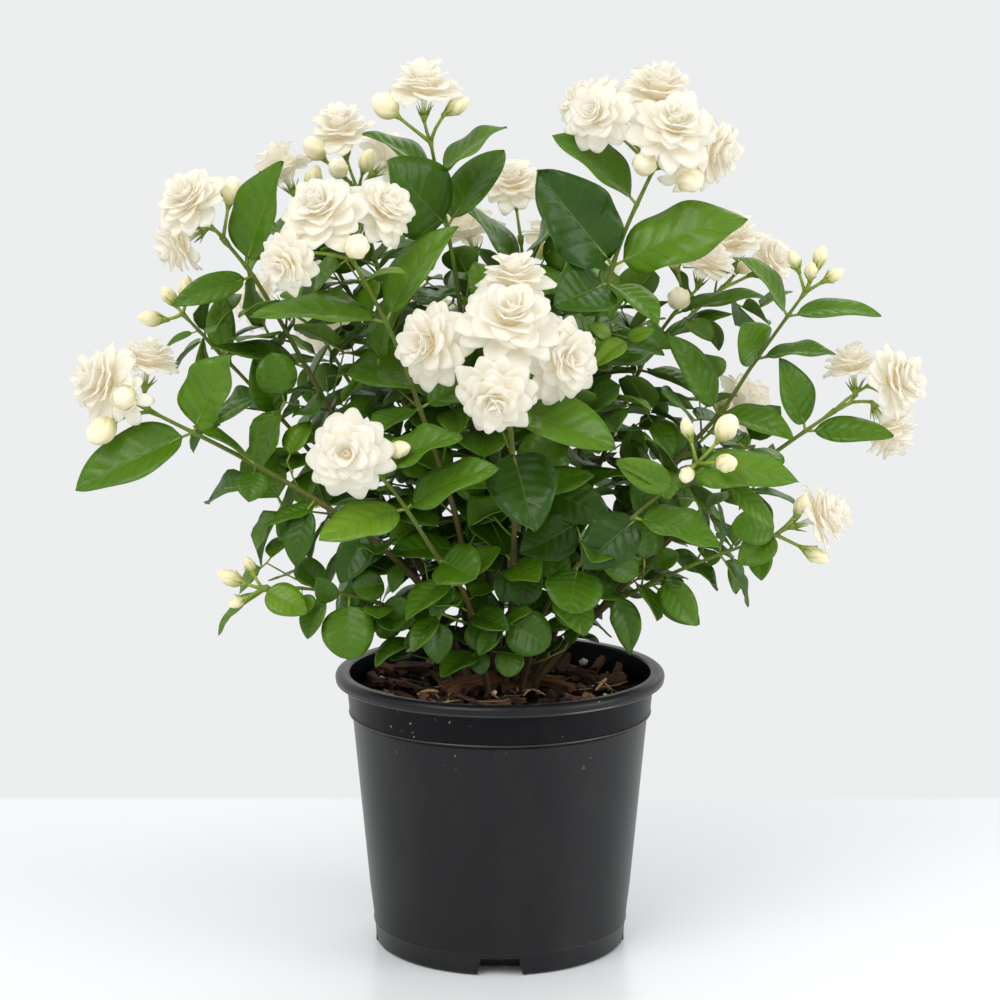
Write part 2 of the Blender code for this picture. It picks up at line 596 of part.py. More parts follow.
def leaf_blade(base, tip, width, faces, roll, stem_radius):
    """An ovate blade with a raised midrib, on a short stalk that starts inside the stem."""
    frame = leaf_frame(base, tip, faces, roll)
    length = frame[0]
    half = width * length / 2
    rings = [[leaf_point(base, frame, -STALK_ROOT * stem_radius / length, 0, 0)]]
    stalk_end = (stem_radius + STALK_LENGTH) / length
    widest = (LEAF_WIDEST, half, LEAF_RIB)
    shoulder = (LEAF_SHOULDER, half * SHOULDER_WIDTH, LEAF_RIB)
    for along, wide, rib in ((stalk_end, STALK_HALF, STALK_RIB), widest, shoulder):
        points = ((wide, 0), (0, rib), (-wide, 0))
        rings.append([leaf_point(base, frame, along, *point) for point in points])
    rings.append([leaf_point(base, frame, 1, 0, 0)])
    return loft(rings)


def leaf_envelope(base, tip, width, faces, roll):
    """The space that a blade must have to itself: its outline, a little larger all round."""
    frame = leaf_frame(base, tip, faces, roll)
    half = width * frame[0] / 2
    rings = []
    widest = (LEAF_WIDEST, half + LEAF_CLEAR)
    shoulder = (LEAF_SHOULDER, half * SHOULDER_WIDTH + LEAF_CLEAR)
    for along, wide in ((CLEAR_FROM, CLEAR_HALF), widest, shoulder):
        low, high, top = -CLEAR_UNDER, CLEAR_UNDER, LEAF_RIB + GAP
        points = ((wide, low), (wide, high), (0, top), (-wide, high), (-wide, low))
        rings.append([leaf_point(base, frame, along, *point) for point in points])
    rings.append([leaf_point(base, frame, 1 + LEAF_CLEAR / frame[0], 0, 0)])
    return loft(rings)


def fixed_leaf_tries(leaf, number):
    """The places that a leaf of the front view may take, the wished one first."""
    draw = random.Random(f"front leaf {number}")
    base = line_point(shoot_line(leaf.shoot), leaf.along)
    wished = Vector(leaf.tip)
    for n in range(LEAF_TRIES):
        stray = Vector([draw.uniform(-1, 1) for _ in range(3)]) * TRY_STRAY * n
        tip = base + (wished + stray - base) * (1 - TRY_SHORTER * n)
        yield base, tip, leaf.width, Vector(leaf.faces), math.radians(draw.uniform(-1, 1) * TRY_ROLL * n)


def rule_leaf_places(name):
    """Where the opposite pairs of a shoot grow, each pair a quarter turn from the last."""
    start, stop, spacing, size = SHOOTS[name].leaves
    pairs = max(1, round(line_length(shoot_line(name)) * (stop - start) / spacing))
    fixed = [leaf.along for leaf in LEAVES if leaf.shoot == name]
    for pair in range(pairs):
        along = start + (stop - start) * (pair + 0.5) / pairs
        if not any(abs(along - other) < PAIR_APART for other in fixed):
            for side in (1, -1):
                yield along, pair, side, size


def rule_leaf_tries(name, along, pair, side, size):
    """The places that a leaf of a pair may take: out from the stem, arching over, its face to the light."""
    draw = random.Random(f"{name} {pair} {side}")
    base = line_point(shoot_line(name), along)
    stem = line_direction(shoot_line(name), along)
    first = (PAIR_LOOKS - stem * stem.dot(PAIR_LOOKS)).normalized()
    second = stem.cross(first)
    outward = Vector((base.x, base.y, 0)) / PLANT_REACH * FACES_OUT
    for n in range(LEAF_TRIES):
        turn = 90 * pair + draw.uniform(-1, 1) * PAIR_TURN + draw.uniform(-1, 1) * PAIR_TRY_TURN * n
        spread = draw.uniform(*PAIR_SPREAD) + draw.uniform(-1, 1) * PAIR_TRY_SPREAD * n
        turn, spread = math.radians(turn), math.radians(spread)
        out = (first * math.cos(turn) + second * math.sin(turn)) * side
        ahead = stem * math.cos(spread) + out * math.sin(spread) - UP * draw.uniform(*PAIR_DROOP)
        length = size * draw.uniform(*PAIR_LENGTH) * (1 - PAIR_TRY_SHORTER * n)
        faces = UP + outward + Vector((draw.uniform(-0.3, 0.3), draw.uniform(-0.5, 0.1), 0))
        width = draw.uniform(*PAIR_WIDTH)
        roll = math.radians(draw.uniform(-1, 1) * PAIR_ROLL)
        yield base, base + ahead.normalized() * length, width, faces, roll


# Flowers


def petal_ring(radius, height, count, turn):
    """The outline of one whorl of blunt petals: a notch, then the petal's two corners, for each."""
    points = []
    for k in range(count):
        middle = turn + 2 * math.pi * k / count
        for share, side, rise in ((PETAL_NOTCH, -1, NOTCH_RISE), (1, -PETAL_TIP, 1), (1, PETAL_TIP, 1)):
            angle = middle + side * math.pi / count
            reach = radius * share
            points.append(Vector((reach * math.cos(angle), reach * math.sin(angle), height * rise)))
    return points


def bloom_solid(throat, faces, radius, grown=0.0):
    """A double bloom: its tube, whorls of petals one over another, and a furled heart."""
    rings = [ring(TUBE_RADIUS, -TUBE_LENGTH, 4), ring(TUBE_TOP_RADIUS, TUBE_TOP, 4)]
    for number, (share, height, count, neck_height) in enumerate(WHORLS):
        rings.append(petal_ring(radius * share + grown, height, count, number * WHORL_TURN))
        rings.append(ring(NECK_RADIUS, neck_height, 4) if neck_height else [Vector((0, 0, HEART_HEIGHT))])
    return loft([placed(points, throat, facing(faces)) for points in rings])


def bloom_envelope(throat, faces, radius):
    """The space round a bloom that leaves keep out of."""
    rings = [[Vector((0, 0, -TUBE_LENGTH))]]
    rings += [ring(radius * share + more, height, BLOOM_SPACE_SIDES) for share, more, height in BLOOM_SPACE]
    rings.append([Vector((0, 0, BLOOM_SPACE_TOP))])
    return loft([placed(points, throat, facing(faces)) for points in rings])


def bloom_tries(flower):
    """The throat and radius that a bloom may take: pushed out, aside and a little smaller at each try."""
    draw = random.Random(f"{flower.shoot} {flower.place}")
    ahead = Vector(flower.faces).normalized()
    for n in range(BLOOM_TRIES):
        stray = Vector([draw.uniform(-1, 1) for _ in range(3)]) * BLOOM_TRY_STRAY * n
        throat = Vector(flower.place) + ahead * (BLOOM_TRY_OUT * n - THROAT_BACK) + stray
        yield throat, flower.size / 2 * (1 - BLOOM_TRY_SMALLER * n)


def stalk_rings(flower, end, end_radius):
    """A flower stalk's two rings: one inside the knob at its shoot's tip, one where its calyx starts."""
    line = shoot_line(flower.shoot)
    toward = (end - line[-1]).normalized()
    start = line[-1] - line_direction(line, 1) * STALK_BEHIND_TIP + toward * STALK_LEAVES_KNOB
    turn = facing(flower.faces)
    bent = Vector(flower.faces).rotation_difference(toward) @ turn
    return [placed(ring(STALK_RADIUS, 0, 3), start, bent), placed(ring(end_radius, 0, 3), end, turn)]


def bloom_stalk(flower, throat):
    """The stalk and calyx of a bloom, up to the flat mouth just under the bloom's tube."""
    ahead = Vector(flower.faces).normalized()
    mouth = throat - ahead * (TUBE_LENGTH + GAP)
    rings = stalk_rings(flower, mouth - ahead * CALYX_LENGTH, STALK_RADIUS)
    return loft(rings + [placed(ring(CALYX_RADIUS, 0, 5), mouth, facing(ahead))])


def bud_solid(flower):
    """A bud or half-open flower on its stalk."""
    ahead = Vector(flower.faces).normalized()
    length = flower.size * (ROUND_BUD_LENGTH if flower.size > ROUND_BUD else SLIM_BUD_LENGTH)
    foot = Vector(flower.place) - ahead * length / 2
    rings = stalk_rings(flower, foot, BUD_FOOT_RADIUS)
    for width, along, turn in BUD_RINGS:
        rings.append(placed(ring(flower.size * width, length * along, 5, turn), foot, facing(ahead)))
    rings.append([foot + ahead * length])
    return loft(rings)


# The plant


class Plant:
    """What has been placed so far: the solids of each stem node, the blooms, and the space taken."""

    def __init__(self):
        self.stems = {}
        self.blooms = []
        self.stem_space = []
        self.leaf_space = []

    def add(self, stem, solid):
        self.stems.setdefault(stem, []).append(solid)


def grow_shoots(plant):
    for name, shoot in SHOOTS.items():
        plant.add(shoot.stem, shoot_tube(name))
        plant.stem_space.append(shoot_tube(name, wider=SHOOT_CLEAR))


def bloom_place(plant, flower):
    """The first throat and radius at which the bloom and its stalk cross nothing placed before them."""
    for throat, radius in bloom_tries(flower):
        bloom = bloom_solid(throat, flower.faces, radius, BLOOM_CLEAR)
        stalk = bloom_stalk(flower, throat)
        crosses = bloom.meets_any(plant.blooms + plant.stem_space + [stalk])
        if not crosses and not stalk.meets_any(plant.blooms):
            return throat, radius
    raise ValueError(f"no room for the bloom at {flower.place}")


def bud_clear_of_blooms(plant, flower):
    """The bud, moved aside and a little smaller at each try until it crosses no bloom."""
    draw = random.Random(f"{flower.shoot} {flower.place}")
    for n in range(BLOOM_TRIES):
        stray = Vector([draw.uniform(-1, 1) for _ in range(3)]) * BUD_TRY_STRAY * n
        size = flower.size * (1 - BUD_TRY_SMALLER * n)
        bud = bud_solid(flower._replace(place=Vector(flower.place) + stray, size=size))
        if not bud.meets_any(plant.blooms):
            return bud
    raise ValueError(f"no room for the bud at {flower.place}")


def grow_flowers(plant):
    for flower in FLOWERS:
        if flower.kind == "bloom":
            throat, radius = bloom_place(plant, flower)
            stalk = bloom_stalk(flower, throat)
            plant.blooms.append(bloom_solid(throat, flower.faces, radius))
            plant.leaf_space.append(bloom_envelope(throat, flower.faces, radius))
        else:
            stalk = bud_clear_of_blooms(plant, flower)
        plant.add(SHOOTS[flower.shoot].stem, stalk)
        plant.stem_space.append(stalk)


def grow_leaf(plant, name, along, tries):
    """Places the leaf at the first try that is clear of all before it, or leaves it out."""
    for place in tries:
        space = leaf_envelope(*place)
        if not space.meets_any(plant.stem_space + plant.leaf_space):
            plant.add(SHOOTS[name].stem, leaf_blade(*place, shoot_radius(name, along)))
            plant.leaf_space.append(space)
            return


def grow_leaves(plant):
    for number, leaf in enumerate(LEAVES):
        grow_leaf(plant, leaf.shoot, leaf.along, fixed_leaf_tries(leaf, number))
    for name in SHOOTS:
        for along, pair, side, size in rule_leaf_places(name):
            grow_leaf(plant, name, along, rule_leaf_tries(name, along, pair, side, size))


def make_stems(plant):
    """Each leafy stem as one body: its shoots, leaves, flower stalks and buds joined.

    Where many stalks meet in one knob the EXACT solver leaves loose slivers, and MANIFOLD doesn't.
    """
    for stem, solids in plant.stems.items():
        first, *rest = [add_object(stem, solid, "leaf") for solid in solids]
        combine(first, rest, "UNION", "MANIFOLD")
        first.name = stem
        smooth_shading(first)


def make_blooms(plant):
    for number, solid in enumerate(plant.blooms, 1):
        smooth_shading(add_object(f"bloom_{number:02d}", solid, "petal"), angle=25)


# Pot and mix


def turned(name, profile, sides, finish):
    """A solid turned round the Z axis from a profile of (radius, height) whose ends lie on the axis."""
    shell = bmesh.new()
    corners = [shell.verts.new((r * MM, 0, z * MM)) for r, z in profile]
    edges = [shell.edges.new(pair) for pair in zip(corners, corners[1:])]
    bmesh.ops.spin(
        shell, geom=corners + edges, axis=(0, 0, 1), cent=(0, 0, 0),
        steps=sides, angle=2 * math.pi, use_merge=True)
    bmesh.ops.remove_doubles(shell, verts=shell.verts, dist=1e-5)
    bmesh.ops.recalc_face_normals(shell, faces=shell.faces)
    mesh = bpy.data.meshes.new(name)
    shell.to_mesh(mesh)
    shell.free()
    mesh.materials.append(material(finish))
    made = bpy.data.objects.new(name, mesh)
    bpy.context.scene.collection.objects.link(made)
    return made


def notch_blocks(name, inner, outer, low, high, wider, finish):
    """The four foot notches as blocks that narrow upward, from an inner end out to a round outer end."""
    blocks = []
    for k in range(NOTCHES):
        outline = []
        for height, sides in ((low, (-1, 0, 1)), (high, (1, 0, -1))):
            narrowing = (NOTCH_LOW_WIDTH - NOTCH_TOP_WIDTH) / 2 * height / NOTCH_HEIGHT
            half = NOTCH_LOW_WIDTH / 2 - narrowing + wider
            outline += [(side * half, height) for side in sides]
        turn = Matrix.Rotation(2 * math.pi * k / NOTCHES, 3, "Z")
        ends = [[Vector((inner, y, z)) for y, z in outline]]
        ends.append([Vector((math.sqrt(outer ** 2 - y ** 2), y, z)) for y, z in outline])
        blocks.append(add_object(name, loft([[turn @ corner for corner in end] for end in ends]), finish))
    return blocks


def drain_holes():
    """The round holes through the roofs of the notches."""
    holes = []
    for k in range(NOTCHES):
        middle = Matrix.Rotation(2 * math.pi * k / NOTCHES, 3, "Z") @ Vector((DRAIN_FROM_AXIS, 0, 0))
        ends = [middle + UP * (NOTCH_HEIGHT - CUT_PAST), middle + UP * (NOTCH_HEIGHT + POT_WALL + CUT_PAST)]
        holes.append(add_object("drain", tube(ends, [DRAIN_RADIUS, DRAIN_RADIUS], 8), "pot"))
    return holes


def make_pot():
    """The tapered pot: rolled rim, collar with its step, flat foot, and four raised drain notches."""
    outside = [
        (0, 0), (FOOT_RADIUS, 0), (WALL_LOW_RADIUS, POT_EDGE), (WALL_TOP_RADIUS, WALL_TOP),
        (COLLAR_LOW_RADIUS, COLLAR_BOTTOM), (COLLAR_RADIUS, RIM_BOTTOM),
        (RIM_RADIUS, RIM_BOTTOM + POT_EDGE / 2), (RIM_RADIUS, POT_HEIGHT - POT_EDGE),
        (RIM_RADIUS - POT_EDGE, POT_HEIGHT), (COLLAR_RADIUS, POT_HEIGHT),
    ]
    inside = [
        (COLLAR_RADIUS - POT_WALL, POT_HEIGHT - POT_EDGE), (COLLAR_LOW_RADIUS - POT_WALL, COLLAR_BOTTOM + 1),
        (WALL_TOP_RADIUS - POT_WALL, WALL_TOP - 1), (WALL_LOW_RADIUS - POT_WALL, POT_FLOOR + POT_EDGE),
        (FOOT_RADIUS - POT_WALL, POT_FLOOR), (0, POT_FLOOR),
    ]
    pot = turned("pot", outside + inside, POT_SIDES, "pot")
    walls = ("box", NOTCH_INNER - POT_WALL, (FOOT_RADIUS + WALL_LOW_RADIUS) / 2, POT_FLOOR / 2)
    combine(pot, notch_blocks(*walls, NOTCH_HEIGHT + POT_WALL, POT_WALL, "pot"), "UNION")
    cutters = notch_blocks("notch", NOTCH_INNER, RIM_RADIUS, -CUT_PAST, NOTCH_HEIGHT, 0, "pot")
    combine(pot, cutters + drain_holes(), "DIFFERENCE")
    smooth_shading(pot, angle=30)


def soil_height(x, y):
    """The uneven top of the mix: a low mound with hollows."""
    reach = math.hypot(x, y) / WALL_TOP_RADIUS
    waves = math.sin(x * 0.11 + 1.0) * math.cos(y * 0.13) + 0.6 * math.sin(x * 0.23 - y * 0.19)
    return SOIL_TOP + SOIL_MOUND * (1 - reach * reach) + waves * SOIL_WAVE


def chip_solid(place, turn, tilt, length, width, thick):
    """One bark chip: a slab, narrower at one end and on top, half sunk in the mix."""
    stands = Matrix.Rotation(turn, 3, "Z") @ Matrix.Rotation(tilt, 3, "Y") @ Matrix.Rotation(tilt, 3, "X")
    rings = []
    for end, share in ((-0.5, 1), (0.5, CHIP_END)):
        outline = ((-0.5, -0.5), (0.5, -0.5), (0.4, 0.5), (-0.45, 0.5))
        corners = [Vector((end * length, y * width * share, z * thick)) for y, z in outline]
        rings.append([stands @ corner + place for corner in corners])
    return loft(rings)


def bark_chips(holes):
    """Chips scattered on the mix, clear of the canes, of each other and of the pot's wall."""
    draw = random.Random("bark")
    chips = []
    while len(chips) < CHIPS:
        near, far = CHIP_FROM_AXIS
        reach, around = near + (far - near) * math.sqrt(draw.random()), draw.uniform(0, 2 * math.pi)
        x, y = reach * math.cos(around), reach * math.sin(around)
        place = Vector((x, y, soil_height(x, y) + CHIP_RISE))
        size = draw.uniform(*CHIP_LENGTH), draw.uniform(*CHIP_WIDTH), draw.uniform(*CHIP_THICK)
        chip = chip_solid(place, draw.uniform(0, 2 * math.pi), draw.uniform(-1, 1) * CHIP_TILT, *size)
        edge = max(math.hypot(corner.co.x, corner.co.y) for corner in chip.shell.verts)
        if edge < CHIP_LIMIT and not chip.meets_any(chips + holes):
            chips.append(chip)
    return chips


def cane_hole(name):
    """The hole that a cane stands in, a little wider than the cane."""
    foot, top = shoot_line(name)[:2]
    line = [foot - UP * HOLE_GAP, foot, foot.lerp(top, HOLE_WIDER)]
    radius = SHOOTS[name].radii[0] * HOLE_WIDER + HOLE_GAP
    return tube(line, [radius] * 3, 6)


def make_soil():
    """The potting mix: it fills the pot to a little below the rim, and each cane stands in its own hole."""
    side = POT_WALL + GAP
    profile = [
        (0, POT_FLOOR + GAP), (FOOT_RADIUS - side - 1, POT_FLOOR + GAP),
        (WALL_LOW_RADIUS - side, POT_FLOOR + POT_EDGE + 1), (WALL_TOP_RADIUS - side, WALL_TOP - POT_WALL),
        (COLLAR_LOW_RADIUS - side, COLLAR_BOTTOM + 2), (COLLAR_LOW_RADIUS - side, SOIL_TOP),
        *[(radius, SOIL_TOP) for radius in SOIL_RINGS], (0, SOIL_TOP),
    ]
    soil = turned("soil", profile, SOIL_SIDES, "soil")
    for vertex in soil.data.vertices:
        if vertex.co.z > (SOIL_TOP - 1) * MM:
            vertex.co.z = soil_height(vertex.co.x / MM, vertex.co.y / MM) * MM
    holes = [cane_hole(name) for name, shoot in SHOOTS.items() if not isinstance(shoot.foot[0], str)]
    combine(soil, [add_object("chip", chip, "soil") for chip in bark_chips(holes)], "UNION")
    cutters = [add_object("hole", hole, "soil") for hole in holes]
    cutters += notch_blocks("pocket", NOTCH_INNER - side, RIM_RADIUS, 0, NOTCH_HEIGHT + side, side, "soil")
    combine(soil, cutters, "DIFFERENCE")
    smooth_shading(soil)


def main():
    for old in list(bpy.data.objects):
        bpy.data.objects.remove(old)
    make_pot()
    make_soil()
    plant = Plant()
    grow_shoots(plant)
    grow_flowers(plant)
    grow_leaves(plant)
    make_stems(plant)
    make_blooms(plant)


main()
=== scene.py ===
# The finish of a potted Arabian jasmine: fine leaves, canes, double blooms, buds, pot and potting mix.
import math
import random
from collections import namedtuple
from functools import cache

import bmesh
import bpy
from bpy.props import FloatProperty, FloatVectorProperty, IntProperty, PointerProperty
from mathutils import Matrix, Quaternion, Vector
from mathutils.bvhtree import BVHTree
from mathutils.kdtree import KDTree


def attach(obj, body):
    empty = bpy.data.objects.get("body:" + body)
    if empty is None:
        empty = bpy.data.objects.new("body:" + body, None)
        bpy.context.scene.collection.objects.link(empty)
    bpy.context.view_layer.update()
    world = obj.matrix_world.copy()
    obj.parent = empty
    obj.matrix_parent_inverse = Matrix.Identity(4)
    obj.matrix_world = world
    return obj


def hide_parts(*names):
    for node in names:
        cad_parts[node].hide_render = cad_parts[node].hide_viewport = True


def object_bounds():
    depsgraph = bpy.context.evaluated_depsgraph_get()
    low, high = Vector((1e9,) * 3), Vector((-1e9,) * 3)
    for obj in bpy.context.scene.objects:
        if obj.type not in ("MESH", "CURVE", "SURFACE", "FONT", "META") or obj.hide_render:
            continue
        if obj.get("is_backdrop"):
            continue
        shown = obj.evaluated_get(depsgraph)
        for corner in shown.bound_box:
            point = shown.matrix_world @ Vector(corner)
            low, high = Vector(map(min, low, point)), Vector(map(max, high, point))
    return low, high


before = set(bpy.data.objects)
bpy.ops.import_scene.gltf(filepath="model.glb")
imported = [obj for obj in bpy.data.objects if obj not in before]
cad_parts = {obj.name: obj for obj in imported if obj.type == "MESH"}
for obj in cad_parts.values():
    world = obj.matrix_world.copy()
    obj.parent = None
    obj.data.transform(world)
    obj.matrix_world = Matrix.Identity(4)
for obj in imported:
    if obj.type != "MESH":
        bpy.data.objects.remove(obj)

bl_info = {
    "name": "Potted Arabian Jasmine",
    "version": (1, 0, 0),
    "blender": (4, 5, 0),
    "location": "3D View > Sidebar > Jasmine",
    "description": "Leaves, canes, double blooms and buds of a jasmine, with its pot and potting mix",
    "category": "Object",
}

# Lengths below are millimetres; a piece becomes metres where its object is made
MM = 0.001
UP = Vector((0, 0, 1))
BODY = "root"
CAD_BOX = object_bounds()
MATCH = 0.08

# Pot, as the CAD has it
POT_HEIGHT = 143
RIM_RADIUS = 85
RIM_BOTTOM = 136.5
COLLAR_RADIUS = 79.2
COLLAR_LOW_RADIUS = 77.8
COLLAR_BOTTOM = 121
WALL_TOP_RADIUS = 76.2
WALL_TOP = 119.5
WALL_LOW_RADIUS = 65.2
FOOT_RADIUS = 63.5
POT_WALL = 1.6
POT_FLOOR = 2
POT_EDGE = 2
NOTCHES = 4
NOTCH_HEIGHT = 9
NOTCH_LOW_WIDTH = 23
NOTCH_TOP_WIDTH = 19
NOTCH_INNER = 50
DRAIN_RADIUS = 3.5
DRAIN_FROM_AXIS = 57
CUT_PAST = 2

# Potting mix, as the CAD has it
GAP = 0.3
SOIL_TOP = 131
SOIL_MOUND = 2.5
SOIL_WAVE = 1.1
HOLE_GAP = 0.5
HOLE_DEPTH = 19
CHIPS = 12
CHIP_FROM_AXIS = (12, 68)
CHIP_RISE = 0.8
CHIP_LENGTH = (13, 27)
CHIP_WIDTH = (6, 10)
CHIP_THICK = (3, 4.5)
CHIP_TILT = 0.2
CHIP_END = 0.6

# Chips that stand out in the photo, as (x, y, turn, tilts, size, redness), grains as (x, y, size), and
# straws as (start, end, thickness, brownness)
PHOTO_CHIPS = (
    (-15, -13, 20, (-8, 34), (29, 13, 3.5), 0.72), (26, -4, -40, (4, 15), (29, 6, 3.5), 0.76),
    (-57, 32, -28, (10, 20), (17, 7, 4), 0.85), (62, 28, 75, (-30, 10), (13, 6, 4), 0.65),
    (52, 42, 60, (-25, 0), (15, 5, 3), 0.7), (33, 33, 68, (-18, 20), (20, 7, 3), 0.4),
    (44, 8, -50, (6, 18), (19, 8, 4), 0.45), (-20, 54, -35, (8, 20), (18, 7, 4), 0.6),
    (-46, 32, -10, (0, 15), (18, 8, 4), 0.5), (-42, -10, -46, (5, 0), (27, 2.6, 2), 0.7),
    (-30, 5, -62, (16, 0), (16, 3, 2.5), 0.75), (58, 2, 12, (-8, 20), (15, 7, 4), 0.55),
    (8, -13, 24, (0, 15), (18, 8, 4), 0.4))
PHOTO_GRAINS = (
    (-3, -21, 1.9), (45, 52, 2.9), (3, -28, 1.2), (22, 30, 1.3),
    (-18, 44, 1.4), (-26, 28, 1.1), (48, -6, 1.0),
    (-62, 16, 1.2), (30, 44, 1.6), (64, 18, 1.1))
PHOTO_STRAWS = (
    ((49, -17), (59, 12), 0.95, 0.0), ((10, -18), (23, -31), 0.6, 0.1), ((-42, -26), (-31, -26), 1.0, 0.1),
    ((12, -30), (16, -24), 0.5, 0.1), ((36, 40), (30, 52), 0.8, 0.3), ((20, 20), (26, 34), 0.5, 0.4))

# Canes, as the CAD has them
STEM_STEP = 38
STEM_TAPER = 0.8
FOOT_RUN = 25
FOOT_LEAN = 0.12
LOOK_AHEAD = 0.02
KNOB_LENGTH = 4
KNOB_RADIUS = 2.1
STALK_RADIUS = 1.1
STALK_BEHIND_TIP = 1.2
CALYX_LENGTH = 4.5
CALYX_RADIUS = 2.3

# Leaves, as the CAD has them: widths and rises are shares of the length, angles are in degrees
LEAF_WIDTH = 0.6
LEAF_ARCH = 0.09
LEAF_TRIES = 16
TRY_STRAY = 1.4
TRY_SHORTER = 0.015
TRY_ROLL = 3
PAIR_LOOKS = Vector((0.8, 0.5, 0.3))
PAIR_APART = 0.05
PAIR_TURN = 20
PAIR_TRY_TURN = 9
PAIR_SPREAD = (55, 78)
PAIR_TRY_SPREAD = 2
PAIR_DROOP = (0.1, 0.45)
PAIR_LENGTH = (0.82, 1.12)
PAIR_TRY_SHORTER = 0.02
PAIR_WIDTH = (0.56, 0.7)
PAIR_ROLL = 14
PLANT_REACH = 160
FACES_OUT = 0.8

# Blooms and buds, as the CAD has them
HEART_HEIGHT = 14
TUBE_LENGTH = 9
THROAT_BACK = 8
BLOOM_TRIES = 30
BLOOM_TRY_STRAY = 0.35
BLOOM_TRY_OUT = 0.3
BLOOM_TRY_SMALLER = 0.01
ROUND_BUD = 10.5
ROUND_BUD_LENGTH = 1.2
SLIM_BUD_LENGTH = 1.55

Shoot = namedtuple("Shoot", "stem foot route radii leaves")
Leaf = namedtuple("Leaf", "shoot along tip width faces", defaults=(LEAF_WIDTH, (0, -0.4, 0.9)))
Flower = namedtuple("Flower", "kind shoot place faces size")

